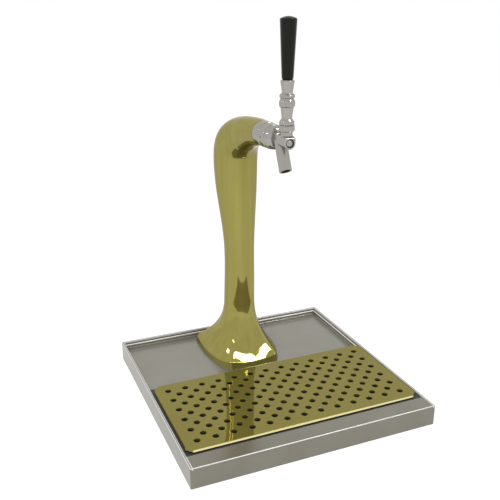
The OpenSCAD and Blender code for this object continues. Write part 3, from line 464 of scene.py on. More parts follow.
class Patterns:
    """Patterns in one node tree, made from one kind of coordinates."""

    def __init__(self, tree: bpy.types.NodeTree, coordinates: str) -> None:
        """Starts from the coordinates.

        Args:
            tree: The node tree.
            coordinates: Their name on the Texture Coordinate node.
        """
        self.tree = tree
        self.place = tree.nodes.new("ShaderNodeTexCoord").outputs[coordinates]

    def axes(self) -> list[bpy.types.NodeSocket]:
        """The coordinates as patterns of x, y and z.

        Returns:
            The three patterns.
        """
        node = self.tree.nodes.new("ShaderNodeSeparateXYZ")
        self.tree.links.new(self.place, node.inputs["Vector"])
        return list(node.outputs)

    def stretched(self, scale: Point) -> bpy.types.NodeSocket:
        """The coordinates, scaled on each axis.

        Args:
            scale: Factor on each axis.

        Returns:
            The scaled coordinates.
        """
        node = self.tree.nodes.new("ShaderNodeMapping")
        node.inputs["Scale"].default_value = scale
        self.tree.links.new(self.place, node.inputs["Vector"])
        return node.outputs["Vector"]

    def noise(self, scale: float, detail: float = 3.0, stretch: Optional[Point] = None,
              distortion: float = 0.0, rough: float = 0.5) -> bpy.types.NodeSocket:
        """Cloudy noise.

        Args:
            scale: Features to the metre.
            detail: Octaves of finer noise.
            stretch: Factor on each axis.
            distortion: How much the clouds swirl.
            rough: Strength of the finer octaves.

        Returns:
            Noise from 0 to 1.
        """
        node = self.tree.nodes.new("ShaderNodeTexNoise")
        node.inputs["Scale"].default_value = scale
        node.inputs["Detail"].default_value = detail
        node.inputs["Roughness"].default_value = rough
        node.inputs["Distortion"].default_value = distortion
        self.tree.links.new(self.stretched(stretch) if stretch else self.place, node.inputs["Vector"])
        return node.outputs["Fac"]

    def spread(self, value: bpy.types.NodeSocket, low: float, high: float,
               start: float = 0.3, end: float = 0.7) -> bpy.types.NodeSocket:
        """Maps a stretch of a pattern onto other values.

        Args:
            value: The pattern.
            low: Value at the start of the stretch.
            high: Value at its end.
            start: Where the stretch starts in the pattern.
            end: Where it ends.

        Returns:
            The mapped pattern.
        """
        node = self.tree.nodes.new("ShaderNodeMapRange")
        for name, number in (("From Min", start), ("From Max", end), ("To Min", low), ("To Max", high)):
            node.inputs[name].default_value = number
        self.tree.links.new(value, node.inputs["Value"])
        return node.outputs["Result"]

    def math(self, operation: str, *values: bpy.types.NodeSocket) -> bpy.types.NodeSocket:
        """Arithmetic on patterns.

        Args:
            operation: The operation's name.
            *values: The patterns.

        Returns:
            The result.
        """
        node = self.tree.nodes.new("ShaderNodeMath")
        node.operation = operation
        for value, socket in zip(values, node.inputs):
            self.tree.links.new(value, socket)
        return node.outputs[0]

    def band(self, value: bpy.types.NodeSocket, low: float, high: float,
             soft: float) -> bpy.types.NodeSocket:
        """1 where a pattern lies between two values, fading to 0 outside.

        Args:
            value: The pattern.
            low: Lower value.
            high: Upper value.
            soft: Width of the fading.

        Returns:
            The band.
        """
        return self.math("MULTIPLY", self.spread(value, 0, 1, low - soft, low),
                         self.spread(value, 1, 0, high, high + soft))

    def blend(self, amount: bpy.types.NodeSocket, low: Sequence[float] | bpy.types.NodeSocket,
              high: Sequence[float] | bpy.types.NodeSocket) -> bpy.types.NodeSocket:
        """Mixes two colours by a pattern.

        Args:
            amount: Pattern from 0 to 1.
            low: Colour at 0, or a pattern of colour.
            high: Colour at 1, or a pattern of colour.

        Returns:
            The mixed colour.
        """
        node = self.tree.nodes.new("ShaderNodeMix")
        node.data_type = "RGBA"
        for socket, value in ((node.inputs[MIX_LOW], low), (node.inputs[MIX_HIGH], high)):
            if isinstance(value, bpy.types.NodeSocket):
                self.tree.links.new(value, socket)
            else:
                socket.default_value = (*value, 1.0)
        self.tree.links.new(amount, node.inputs["Factor"])
        return node.outputs[MIX_RESULT]

    def seen_rays(self) -> bpy.types.NodeSocket:
        """Camera, glossy and transmission rays together.

        Returns:
            1 on such rays, 0 on others.
        """
        path = self.tree.nodes.new("ShaderNodeLightPath")
        last = path.outputs["Is Camera Ray"]
        for name in ("Is Glossy Ray", "Is Transmission Ray"):
            last = self.math("MAXIMUM", last, path.outputs[name])
        return last


class Recipe(Patterns):
    """Node tree of one material under making. Its patterns read Object coordinates, in metres."""

    def __init__(self, name: str) -> None:
        """Starts a material from its surface shader.

        Args:
            name: The material's name.
        """
        self.material = bpy.data.materials.new(name)
        self.material.use_nodes = True
        super().__init__(self.material.node_tree, "Object")
        self.shader = self.tree.nodes["Principled BSDF"]

    def set(self, **values: object) -> None:
        """Sets constant values on the shader's own sockets.

        Args:
            **values: Socket names with _ for a space, and their values.
        """
        for name, value in values.items():
            self.shader.inputs[name.replace("_", " ")].default_value = value

    def link(self, socket: bpy.types.NodeSocket, name: str) -> None:
        """Leads a pattern to a socket of the shader.

        Args:
            socket: Where the pattern comes out.
            name: The shader's socket.
        """
        self.tree.links.new(socket, self.shader.inputs[name])

    def bump(self, *layers: tuple[bpy.types.NodeSocket, float]) -> None:
        """Raises the surface by patterns.

        Args:
            *layers: Each pattern and its height in metres.
        """
        last = None
        for height, distance in layers:
            node = self.tree.nodes.new("ShaderNodeBump")
            node.inputs["Strength"].default_value = 1.0
            node.inputs["Distance"].default_value = distance
            self.tree.links.new(height, node.inputs["Height"])
            if last is not None:
                self.tree.links.new(last, node.inputs["Normal"])
            last = node.outputs["Normal"]
        self.link(last, "Normal")


@dataclass(frozen=True)
class PolishedMetal:
    """Plated metal with a mirror polish, faint clouds, wiped smears and a hint of waviness."""

    name: str
    bright: Point
    dull: Point
    mirror: float = 0.03
    smear: float = 0.09
    wave: float = 0.00002
    ripple: float = 0.02
    edge: Point = (0.68, 0.65, 0.60)
    metallic: float = 1.0
    drawn: Point = (1, 1, 1)

    def tone(self, recipe: Recipe) -> bpy.types.NodeSocket:
        """Colour of the metal.

        Args:
            recipe: The material under making.

        Returns:
            A pattern of colour.
        """
        clouds = recipe.noise(16, detail=4, stretch=self.drawn, distortion=0.6)
        return recipe.blend(recipe.spread(clouds, 0, 1), self.dull, self.bright)

    def make(self) -> bpy.types.Material:
        """Makes the material.

        Returns:
            The new material.
        """
        recipe = Recipe(self.name)
        recipe.set(Metallic=self.metallic, Specular_Tint=(*self.edge, 1.0), Specular_IOR_Level=0.25)
        recipe.link(self.tone(recipe), "Base Color")
        wiped = recipe.noise(38, detail=6, stretch=(1, 1, 0.35), distortion=1.2, rough=0.65)
        recipe.link(recipe.spread(wiped, self.mirror, self.smear, start=0.45, end=0.8), "Roughness")
        recipe.bump((recipe.noise(26, detail=2), self.wave),
                    (recipe.noise(900, detail=2), self.wave * self.ripple))
        return recipe.material


@dataclass(frozen=True)
class EdgedBrass(PolishedMetal):
    """Polished brass plate with a painted highlight in its colour along its cut front edge."""

    # Colour of the painted highlight on the plate's front edge.
    rubbed_and_painted_highlight: Point = (0.80, 0.72, 0.36)
    far_front: float = mm(-200)
    front: float = mm(-144)
    edge_low: float = mm(29.5)
    edge_top: float = mm(31.6)
    soft: float = mm(0.15)

    def tone(self, recipe: Recipe) -> bpy.types.NodeSocket:
        """Colour of the plate with a painted highlight on its front edge.

        Args:
            recipe: The material under making.

        Returns:
            A pattern of colour.
        """
        _, y, z = recipe.axes()
        # Painted highlight: a bright band of colour along the plate's front edge.
        cut = recipe.math("MULTIPLY", recipe.band(y, self.far_front, self.front, self.soft),
                          recipe.band(z, self.edge_low, self.edge_top, self.soft))
        return recipe.blend(cut, super().tone(recipe), self.rubbed_and_painted_highlight)


@dataclass(frozen=True)
class SatinSteel:
    """Stainless sheet with a fine grain along X, faint clouds and small scuffs."""

    name: str
    bright: Point
    dull: Point
    mirror: float = 0.10
    scuffed: float = 0.24
    grain: float = 0.0000005
    swell: float = 9.0
    metallic: float = 0.65

    def tone(self, recipe: Recipe) -> bpy.types.NodeSocket:
        """Colour of the sheet.

        Args:
            recipe: The material under making.

        Returns:
            A pattern of colour.
        """
        clouds = recipe.noise(14, detail=7, distortion=0.9, rough=0.68)
        return recipe.blend(recipe.spread(clouds, 0, 1, start=0.34, end=0.66), self.dull, self.bright)

    def sheen(self, recipe: Recipe, lines: bpy.types.NodeSocket) -> bpy.types.NodeSocket:
        """Roughness of the sheet.

        Args:
            recipe: The material under making.
            lines: The pattern of the grain.

        Returns:
            A pattern of roughness.
        """
        return recipe.spread(lines, self.mirror, self.scuffed)

    def make(self) -> bpy.types.Material:
        """Makes the material.

        Returns:
            The new material.
        """
        recipe = Recipe(self.name)
        recipe.set(Metallic=self.metallic, Specular_IOR_Level=0.25)
        recipe.link(self.tone(recipe), "Base Color")
        lines = recipe.noise(60, detail=6, stretch=(1.0, 26.0, 26.0), rough=0.7)
        recipe.link(self.sheen(recipe, lines), "Roughness")
        recipe.bump((lines, self.grain), (recipe.noise(20, detail=3), self.grain * self.swell))
        return recipe.material


@dataclass(frozen=True)
class FoldedSteel(SatinSteel):
    """Satin sheet whose folds, round the tray's outside and its opening, carry a painted highlight in their
    colour and are rougher.
    """

    # Colour of the painted highlight on the folds.
    rubbed_and_painted_highlight: Point = (0.66, 0.655, 0.63)
    outside: float = mm(175)
    opening: float = mm(171.6)
    top: float = mm(30)
    fold: float = mm(0.85)
    lip: float = mm(1.2)
    lip_depth: float = mm(2.6)
    fold_rough: float = 0.45
    soft: float = mm(0.3)

    def folds(self, recipe: Recipe) -> bpy.types.NodeSocket:
        """Where the sheet is folded, which is where its highlight is painted.

        Args:
            recipe: The material under making.

        Returns:
            A pattern, 1 on the folds and 0 elsewhere.
        """
        x, y, z = recipe.axes()
        across = recipe.math("ABSOLUTE", x)
        reach = recipe.math("MAXIMUM", across, recipe.math("ABSOLUTE", y))
        behind = recipe.math("MAXIMUM", across, y)
        bands = []
        for away, start, end, depth in ((reach, self.outside - self.fold, self.outside, self.fold),
                                        (behind, self.opening, self.opening + self.lip, self.lip_depth)):
            bands.append(recipe.math("MULTIPLY", recipe.band(away, start, end, self.soft),
                                     recipe.band(z, self.top - depth, self.top, self.soft)))
        return recipe.math("MAXIMUM", *bands)

    def tone(self, recipe: Recipe) -> bpy.types.NodeSocket:
        """Colour of the sheet with painted highlights on its folds.

        Args:
            recipe: The material under making.

        Returns:
            A pattern of colour.
        """
        # Painted highlight: the folds are coloured bright.
        return recipe.blend(self.folds(recipe), super().tone(recipe), self.rubbed_and_painted_highlight)

    def sheen(self, recipe: Recipe, lines: bpy.types.NodeSocket) -> bpy.types.NodeSocket:
        """Roughness of the sheet, higher on its folds.

        Args:
            recipe: The material under making.
            lines: The pattern of the grain.

        Returns:
            A pattern of roughness.
        """
        # Roughness is raised on the folds that carry the painted highlight.
        rubbed_and_painted_highlight = recipe.spread(self.folds(recipe), 0, self.fold_rough, start=0, end=1)
        return recipe.math("MAXIMUM", super().sheen(recipe, lines), rubbed_and_painted_highlight)


@dataclass(frozen=True)
class Moulding:
    """Moulded plastic or rubber with a fine texture, slight clouds and worn patches."""

    name: str
    color: Point
    worn: Point
    roughness: float
    rubbed_and_painted_highlight: float
    texture: float = 0.00001
    specular: float = 0.3

    def make(self) -> bpy.types.Material:
        """Makes the material.

        Returns:
            The new material.
        """
        recipe = Recipe(self.name)
        recipe.set(Specular_IOR_Level=self.specular)
        clouds = recipe.noise(30, detail=5, distortion=0.4)
        worn = recipe.spread(clouds, 0, 1, start=0.4, end=0.8)
        recipe.link(recipe.blend(worn, self.color, self.worn), "Base Color")
        recipe.link(recipe.spread(recipe.noise(55, detail=4), self.roughness, self.rubbed_and_painted_highlight), "Roughness")
        recipe.bump((recipe.noise(1400, detail=2), self.texture))
        return recipe.material


@dataclass(frozen=True)
class ClearTube:
    """Clear flexible tube with a faint milky haze."""

    name: str
    color: Point
    milky: Point = (0.9, 0.9, 0.88)
    clear: float = 0.7
    roughness: float = 0.12
    scuffed: float = 0.3

    def make(self) -> bpy.types.Material:
        """Makes the material.

        Returns:
            The new material.
        """
        recipe = Recipe(self.name)
        recipe.set(Transmission_Weight=self.clear)
        haze = recipe.noise(90, detail=4)
        recipe.link(recipe.blend(recipe.spread(haze, 0, 1), self.color, self.milky), "Base Color")
        recipe.link(recipe.spread(haze, self.roughness, self.scuffed), "Roughness")
        return recipe.material


class Finish(Enum):
    """The finishes of the part's pieces."""

    TOWER_BRASS = PolishedMetal("polished_tower_brass", (0.320, 0.286, 0.083), (0.276, 0.244, 0.062),
                                wave=0.00001, metallic=0.68, drawn=(5.5, 5.5, 0.14))
    # The plate's front edge carries a painted highlight.
    PLATE_BRASS = EdgedBrass("polished_plate_brass", (0.246, 0.214, 0.058), (0.228, 0.198, 0.050),
                             mirror=0.02, smear=0.06, wave=0.000008, metallic=0.68)
    PLAIN_BRASS = PolishedMetal("machined_brass", (0.42, 0.33, 0.13), (0.33, 0.25, 0.10),
                                mirror=0.22, smear=0.4)
    TAP_CHROME = PolishedMetal("polished_tap_chrome", (0.365, 0.358, 0.322), (0.332, 0.325, 0.290),
                               mirror=0.03, smear=0.08, wave=0.000003, edge=(0.75, 0.74, 0.70), metallic=0.8)
    # Tray steel, with a painted highlight on its folds.
    TRAY_STEEL = FoldedSteel("satin_tray_steel", (0.240, 0.227, 0.190), (0.214, 0.201, 0.168),
                             mirror=0.16, grain=0.00000008)
    # Deck steel, with a near-white painted highlight on its folds.
    DECK_STEEL = FoldedSteel("satin_deck_steel", (0.278, 0.270, 0.230), (0.254, 0.247, 0.210),
                             mirror=0.20, scuffed=0.24, grain=0.00000003, rubbed_and_painted_highlight=(0.9, 0.89, 0.87),
                             opening=mm(170.1), top=mm(28.5), lip=mm(1.8), lip_depth=mm(5))
    HIDDEN_STEEL = SatinSteel("zinc_plated_steel", (0.36, 0.36, 0.34), (0.26, 0.26, 0.25),
                              mirror=0.25, scuffed=0.45)
    HANDLE_BLACK = Moulding("gloss_black_handle", (0.0045, 0.0044, 0.0034), (0.007, 0.0068, 0.0056),
                            roughness=0.14, rubbed_and_painted_highlight=0.22, texture=0.000003, specular=0.2)
    PAN_BLACK = Moulding("moulded_black_pan", (0.018, 0.018, 0.019), (0.026, 0.026, 0.028),
                         roughness=0.28, rubbed_and_painted_highlight=0.45, texture=0.00002, specular=0.4)
    RUBBER = Moulding("black_rubber", (0.016, 0.016, 0.016), (0.030, 0.029, 0.028),
                      roughness=0.6, rubbed_and_painted_highlight=0.8, texture=0.00004)
    NYLON = Moulding("white_nylon", (0.62, 0.61, 0.56), (0.70, 0.69, 0.64), roughness=0.4, rubbed_and_painted_highlight=0.55)
    LINE_CLEAR = ClearTube("clear_line_tube", (0.70, 0.73, 0.70))


class Paintbox:
    """Makes each finish once and gives it out."""

    def __init__(self) -> None:
        """Starts with no material made."""
        self.made: dict[Finish, bpy.types.Material] = {}

    def get(self, finish: Finish) -> bpy.types.Material:
        """The material of a finish.

        Args:
            finish: The finish.

        Returns:
            Its material, made the first time.
        """
        if finish not in self.made:
            self.made[finish] = finish.value.make()
        return self.made[finish]


# Drip tray


@dataclass
class Tray:
    """Folded steel tray: outer walls with a rim, a sunk rear deck and its upright front edge."""

    paints: Paintbox
    half: float = mm(175)
    height: float = mm(30)
    lift: float = mm(1)
    sheet: float = mm(1.5)
    bend: float = mm(1.5)
    corner: float = mm(1.6)
    least_corner: float = mm(0.2)
    opening_half: float = mm(171.6)
    opening_front: float = mm(-150)
    opening_back: float = mm(171.6)
    lip_z: float = mm(25)
    lip_bend: float = mm(0.8)
    lip_t: float = mm(1.2)
    lip_gap: float = mm(0.02)
    deck_z: float = mm(19)
    deck_half: float = mm(170.4)
    deck_front: float = mm(17)
    deck_back: float = mm(170.4)
    deck_gap: float = mm(0.8)
    deck_corner: float = mm(0.6)
    cove: float = mm(1.4)
    cove_corner: float = mm(0.5)
    ledge_bend: float = mm(1.0)
    flange_w: float = mm(2.8)
    upstand_cove: float = mm(1)
    upstand_z: float = mm(28.6)
    foot_place: float = mm(158.5)
    foot_r: float = mm(11)
    foot_h: float = mm(5)
    foot_toe: float = 0.86
    foot_bead: tuple[float, float, float] = (0.93, 0.55, 0.7)
    head_r: float = mm(4.05)
    head_depth: float = mm(3.6)
    screw_r: float = mm(2.05)

    def build(self) -> None:
        """Makes the tray's pieces."""
        self.rim_pressing()
        self.deck_pressing()
        self.deck_upstand()
        self.feet()

    def rim_pressing(self) -> None:
        """Outer walls, bent over into the rim and down into the lip of the opening."""
        outer = RoundedBox(self.half, -self.half, self.half, self.corner, self.least_corner)
        opening = RoundedBox(self.opening_half, self.opening_front, self.opening_back, self.lip_bend)
        top, under, lip_z = self.height, self.height - self.sheet, self.lip_z + self.lip_gap
        loops = [outer.loop(0, self.lift), outer.loop(0, top / 2)]
        loops += [outer.loop(-inset, top - drop) for inset, drop in quarter(self.bend, 5)]
        loops += [opening.loop(grow, top - drop) for drop, grow in quarter(self.lip_bend, 4)]
        loops += [opening.loop(0, lip_z), opening.loop(self.lip_t, lip_z), opening.loop(self.lip_t, under),
                  outer.loop(-self.sheet, under), outer.loop(-self.sheet, self.lift)]
        piece = Piece("tray_rim_pressing")
        piece.loft(loops, closed=True)
        piece.finish(40, self.paints.get(Finish.TRAY_STEEL), Body.TOWER, "steel", "tray_shell")

    def deck_pressing(self) -> None:
        """Deck floor with coved walls that end in a flange under the lip."""
        basin = RoundedBox(self.deck_half, self.deck_front + self.deck_gap, self.deck_back,
                           self.deck_corner, front_stays=True)
        t, z, lip_z = self.sheet, self.deck_z, self.lip_z
        loops = [basin.loop(-inset, z + rise, self.cove_corner) for rise, inset in quarter(self.cove, 4)]
        walls = [(grow, lip_z - drop) for grow, drop in quarter(self.ledge_bend, 4)]
        walls += [(self.flange_w, lip_z), (self.flange_w, lip_z - t), (t, lip_z - t), (t, z - t)]
        loops += [basin.loop(grow, height, self.deck_corner) for grow, height in walls]
        piece = Piece("deck_pressing")
        piece.loft(loops, caps=(True, True))
        piece.finish(40, self.paints.get(Finish.DECK_STEEL), Body.TOWER, "steel", "deck_plate")

    def deck_upstand(self) -> None:
        """Upright front edge of the deck, folded over on itself."""
        y, z, t, r, cove = self.deck_front, self.deck_z, self.sheet, self.sheet / 2, self.upstand_cove
        section = [(y, z - t), (y + t, z - t), (y + t + cove, z), (y + t + cove * 0.3, z + cove * 0.3),
                   (y + t, z + cove)]
        section += [(y + r + r * math.cos(a), self.upstand_z - r + r * math.sin(a)) for a in arc(0, 180, 8)]
        piece = Piece("deck_upstand")
        ends = (-self.opening_half, 0.0, self.opening_half)
        piece.loft([[(x, *point) for point in section] for x in ends], caps=(True, True))
        piece.finish(40, self.paints.get(Finish.TRAY_STEEL), Body.TOWER, "steel")

    def feet(self) -> None:
        """Four rubber feet with a bead and a recess for their screw."""
        r, h = self.foot_r, self.foot_h
        piece = Piece("rubber_feet_turned")
        head, hole, depth = self.head_r, self.screw_r, self.head_depth
        share, low, top = self.foot_bead
        piece.turned([(head, 0), (r * self.foot_toe, 0, mm(0.7)), (r * share, h * low),
                      (r, h * top, mm(0.5)), (r, h, mm(0.3)), (hole, h), (hole, depth), (head, depth),
                      (head, 0)], steps=48)
        p = self.foot_place
        piece.move((-p, -p, 0))
        piece.copies([(2 * p, 0, 0), (0, 2 * p, 0), (2 * p, 2 * p, 0)])
        piece.finish(45, self.paints.get(Finish.RUBBER), Body.TOWER, "rubber", "rubber_feet")


@dataclass
class DripPan:
    """Black moulded pan with a flange. Its floor falls a little towards its middle."""

    paints: Paintbox
    flange_half: float = mm(171)
    flange_front: float = mm(-149.4)
    flange_back: float = mm(16.4)
    flange_z: float = mm(28)
    wall: float = mm(1.5)
    inner_half: float = mm(161.5)
    inner_front: float = mm(-139.9)
    inner_back: float = mm(6.9)
    inner_corner: float = mm(6.5)
    floor_z: float = mm(4)
    fillet: float = mm(3)
    flange_corner: float = mm(1)
    flange_edge: float = mm(0.5)
    fall_corner: float = mm(2)
    fall: tuple[tuple[float, float], ...] = ((mm(60), 0.0), (mm(30), mm(0.1)))

    def build(self) -> None:
        """Makes the pan."""
        inner = RoundedBox(self.inner_half, self.inner_front, self.inner_back, self.inner_corner,
                           self.fall_corner)
        flange = RoundedBox(self.flange_half, self.flange_front, self.flange_back, self.flange_corner)
        t, top, floor = self.wall, self.flange_z, self.floor_z + self.wall
        loops = [inner.loop(-inset, floor + rise) for inset, rise in self.fall]
        loops += [inner.loop(-inset, floor + rise) for rise, inset in quarter(self.fillet, 5)]
        loops += [inner.loop(grow, top - drop) for grow, drop in quarter(t, 4)]
        rim = [*quarter(self.flange_edge, 3), (t, 0.0)]
        loops += [flange.loop(-inset, top - drop, self.flange_corner) for drop, inset in rim]
        loops.append(inner.loop(t, top - t))
        loops += [inner.loop(t - inset, self.floor_z + rise) for inset, rise in quarter(self.fillet, 4)]
        piece = Piece("drip_pan_moulding")
        piece.loft(loops, caps=(True, True))
        piece.finish(40, self.paints.get(Finish.PAN_BLACK), Body.PAN, "pan_black", "drip_pan")


@dataclass
class Grille:
    """Perforated plate with rounded edges, chamfered corners and staggered rows of holes."""

    paints: Paintbox
    half_w: float = mm(168.5)
    half_d: float = mm(81)
    middle_y: float = mm(-64)
    low: float = mm(29)
    thick: float = mm(3)
    chamfer: float = mm(8)
    hole_r: float = mm(4.35)
    pitch: float = mm(25)
    rows: int = 11
    holes: int = 13
    edge: float = mm(0.45)
    side_lean: float = mm(0.9)
    hole_edge: float = mm(0.3)
    half_steps: int = 4

    def hole_cell(self, loop: Loop) -> Piece:
        """One cell of the plate: a hole with rounded rims, out to the edges that it shares.

        Args:
            loop: The cell's outline on the plate's top, from its right middle, counter-clockwise.

        Returns:
            The cell, round the plate's origin.
        """
        r, e, low, top = self.hole_r, self.hole_edge, self.low, self.low + self.thick
        rim = [(r + grow, top - drop) for drop, grow in quarter(e, 3)]
        rim += [(r, low + e), (r + e, low)]
        turns = [2 * math.pi * i / len(loop) for i in range(len(loop))]
        loops = [loop, *([(reach * math.cos(a), reach * math.sin(a), z) for a in turns] for reach, z in rim),
                 [(x, y, low) for x, y, _ in loop]]
        cell = Piece("perforated_plate")
        cell.loft(loops)
        return cell

    def _box(self, half_w: float, half_d: float, step: float) -> Loop:
        """Outline of a rectangle on the plate's top in equal steps, from its right middle.

        Args:
            half_w: Half of its width.
            half_d: Half of its depth.
            step: Distance between its points.

        Returns:
            Its points, counter-clockwise.
        """
        w, d = round(half_w / step), round(half_d / step)
        places = [(w, i) for i in range(d)] + [(w - i, d) for i in range(2 * w)]
        places += [(-w, d - i) for i in range(2 * d)] + [(-w + i, -d) for i in range(2 * w)]
        places += [(w, -d + i) for i in range(d)]
        return [(x * step, y * step, self.low + self.thick) for x, y in places]

    def border(self, inner: Loop, z: float, inset: float) -> Loop:
        """The plate's outline, one point for each point of the field of holes.

        Args:
            inner: Outline of the field.
            z: Height of the loop.
            inset: How far inside the plate's outline it is.

        Returns:
            The loop.
        """
        w, d = max(p[0] for p in inner), max(p[1] for p in inner)
        step = inner[1][1] - inner[0][1]
        out_w, out_d = self.half_w - inset, self.half_d - inset
        cut = self.chamfer - inset * (2 - math.sqrt(2))
        points = []
        for x, y, _ in inner:
            if abs(y) > d - step / 2:
                points.append((x / w * (out_w - cut), math.copysign(out_d, y), z))
            else:
                points.append((math.copysign(out_w, x), y / (d - step) * (out_d - cut), z))
        return points

    def build(self) -> None:
        """Makes the plate: a cell for each hole, blanks at the ends of the short rows, a rounded border."""
        low, top = self.low, self.low + self.thick
        half = self.pitch / 2
        step = half / self.half_steps
        rows = [(j - (self.rows - 1) / 2) * half for j in range(self.rows)]
        plate = self.hole_cell(self._box(half, half / 2, step))
        first, *others = [(i * self.pitch - (n - 1) * half, y, 0.0)
                          for j, y in enumerate(rows) for n in (self.holes - j % 2,) for i in range(n)]
        plate.move(first)
        plate.copies([(x - first[0], y - first[1], 0.0) for x, y, _ in others])
        side = (self.holes - 0.5) * half
        blank = Piece("blank_cell")
        blank.loft([self._box(half / 2, half / 2, step)], caps=(True, False))
        first, *others = [(x, y, z) for y in rows[1::2] for x in (-side, side) for z in (0.0, -self.thick)]
        blank.move(first)
        blank.copies([(x - first[0], y - first[1], z - first[2]) for x, y, z in others])
        plate.absorb(blank)
        field = self._box(self.holes * half, self.rows * half / 2, step)
        loops = [[(x, y, low) for x, y, _ in field]]
        rounding = quarter(self.edge, 4)
        loops += [self.border(field, low + rise, inset) for rise, inset in rounding]
        loops += [self.border(field, top - drop, self.side_lean + inset) for drop, inset in rounding[::-1]]
        border = Piece("plate_border")
        border.loft([*loops, field])
        plate.absorb(border)
        plate.move((0.0, self.middle_y, 0.0))
        plate.finish(50, self.paints.get(Finish.PLATE_BRASS), Body.GRILLE, "grille_brass", "drip_grille")


# Tower


@dataclass
class Tower:
    """Swan neck shell: a flared foot with a raised band, a waisted column, a turned head and a snout."""

    paints: Paintbox
    axis_y: float = mm(104)
    deck_z: float = mm(19)
    column_h: float = mm(310)
    neck_len: float = mm(90)
    waist_r: float = mm(24)
    turn_y: float = mm(61.016)
    tap_z: float = mm(382)
    mouth_y: float = mm(14)
    wall: float = mm(2)
    base_back_half: float = mm(57.1)
    base_front: float = mm(66)
    base_back: float = mm(60)
    front_half: float = mm(37.5)
    front_bulge: float = mm(1.52)
    side_bend: tuple[float, float] = (mm(54.8), mm(-42.37))
    side_point: tuple[float, float] = (mm(58.3), mm(12))
    corner_r: float = mm(16)
    tip_share: float = 0.97
    tip_turn: float = 0.018
    front_steps: int = 9
    tip_steps: int = 4
    side_steps: int = 14
    rear_steps: int = 4
    corner_steps: int = 10
    back_steps: int = 5
    band_h: float = mm(6.5)
    band_edge: float = mm(0.6)
    band_lean: float = 0.052
    band_rise: float = mm(5)
    rise_reach: float = mm(17.82)
    rise_power: float = 1.2
    rear_rise: float = 0.75
    flare_h: float = mm(90.5)
    flare_power: float = 2.3
    band_ring: float = 0.45
    band_steps: int = 5
    flare_rings: int = 30
    flare_spacing: float = 1.2
    column_rings: int = 84
    inner_every: int = 6
    mouth_edge: tuple[float, float] = (mm(0.05), mm(0.35))
    column: tuple[Point, ...] = (
        (0, 0, 1), (0.12, 0, 1), (0.255, -0.018, 0.996), (0.335, -0.028, 0.984), (0.4, -0.036, 0.97),
        (0.465, -0.04, 0.958), (0.529, -0.037, 0.957), (0.59, -0.027, 0.978), (0.652, -0.008, 1.029),
        (0.711, 0.017, 1.1), (0.771, 0.044, 1.178), (0.845, 0.077, 1.27), (0.923, 0.102, 1.334))
    turn: tuple[Point, ...] = (
        (0, 2.196, 1.364), (0.167, 2.185, 1.361), (0.333, 2.125, 1.337), (0.5, 2.005, 1.248),
        (0.667, 1.88, 1.118), (0.833, 1.828, 1.012), (1, 1.875, 0.957))
    snout: tuple[Point, ...] = (
        (0.13, 0.26, 0.903), (0.28, 0.189, 0.858), (0.45, 0.127, 0.815), (0.62, 0.08, 0.784),
        (0.8, 0.04, 0.753), (1, 0, 0.708))

    def outline(self) -> list[tuple[float, float]]:
        """Outline of the foot from the tower's axis, from its front middle round by the right.

        Returns:
            Its points, counter-clockwise.
        """
        front, bulge, share, turned = -self.base_front, self.front_bulge, self.tip_share, self.tip_turn
        bend, side = self.side_bend, self.side_point
        tip = (self.front_half, front + bulge)
        ahead = (tip[0] * share, front + bulge * share**2)
        past = self._on_curve(tip, bend, side, turned)
        half = [(t * tip[0], front + bulge * t * t)
                for t in (i / self.front_steps * share for i in range(self.front_steps))]
        half += [self._on_curve(ahead, tip, past, i / self.tip_steps) for i in range(self.tip_steps)]
        half += [self._on_curve(tip, bend, side, turned + (1 - turned) * i / self.side_steps)
                 for i in range(self.side_steps)]
        middle, inner = self.base_back - self.corner_r, self.base_back_half - self.corner_r
        half += [(side[0] + (self.base_back_half - side[0]) * i / self.rear_steps,
                  side[1] + (middle - side[1]) * i / self.rear_steps) for i in range(self.rear_steps)]
        half += [(inner + self.corner_r * math.cos(a), middle + self.corner_r * math.sin(a))
                 for a in arc(0, 90, self.corner_steps)[:-1]]
        half += [(inner * (1 - i / self.back_steps), self.base_back) for i in range(self.back_steps + 1)]
        return half + [(-x, y) for x, y in reversed(half[1:-1])]

    @staticmethod
    def _on_curve(a: Sequence[float], b: Sequence[float], c: Sequence[float],
                  t: float) -> tuple[float, float]:
        """Point on a curve with one bend.

        Args:
            a: Its start.
            b: Where its ends' tangents meet.
            c: Its end.
            t: How far along, from 0 to 1.

        Returns:
            The point.
        """
        s = 1 - t
        x, y = (a[i] * s * s + b[i] * 2 * t * s + c[i] * t * t for i in (0, 1))
        return x, y

    def rise_share(self, point: Sequence[float]) -> float:
        """How much the band is raised at a point of the outline.

        Args:
            point: The point, from the tower's axis.

        Returns:
            1 in a front corner, less further off.
        """
        cut = self.corner_r * (1 - math.sqrt(0.5))
        corners = (((self.front_half, -self.base_front), 1.0),
                   ((self.base_back_half - cut, self.base_back - cut), self.rear_rise))
        return max(scale * math.exp(-(math.hypot(abs(point[0]) - c[0], point[1] - c[1]) / self.rise_reach)
                                    ** self.rise_power) for c, scale in corners)

    def spine(self) -> SmoothCurve:
        """Centre, tilt and radius of the shell along its length.

        Returns:
            A curve of (y, z, tilt in degrees, radius), by distance along the centre line.
        """
        waist = self.waist_r
        states = [(self.axis_y + lean * self.neck_len, self.deck_z + h * self.column_h, 0.0, r * waist)
                  for h, lean, r in self.column]
        for s, reach, r in self.turn:
            a = math.radians(90 * s)
            states.append((self.turn_y + reach * waist * math.cos(a),
                           self.deck_z + self.column_h + reach * waist * math.sin(a), 90 * s, r * waist))
        for s, drop, r in self.snout:
            states.append((self.turn_y + s * (self.mouth_y - self.turn_y), self.tap_z - drop * waist,
                           90.0, r * waist))
        knots = [0.0]
        for a, b in zip(states, states[1:]):
            knots.append(knots[-1] + math.hypot(b[0] - a[0], b[1] - a[1]))
        return SmoothCurve(knots, states)

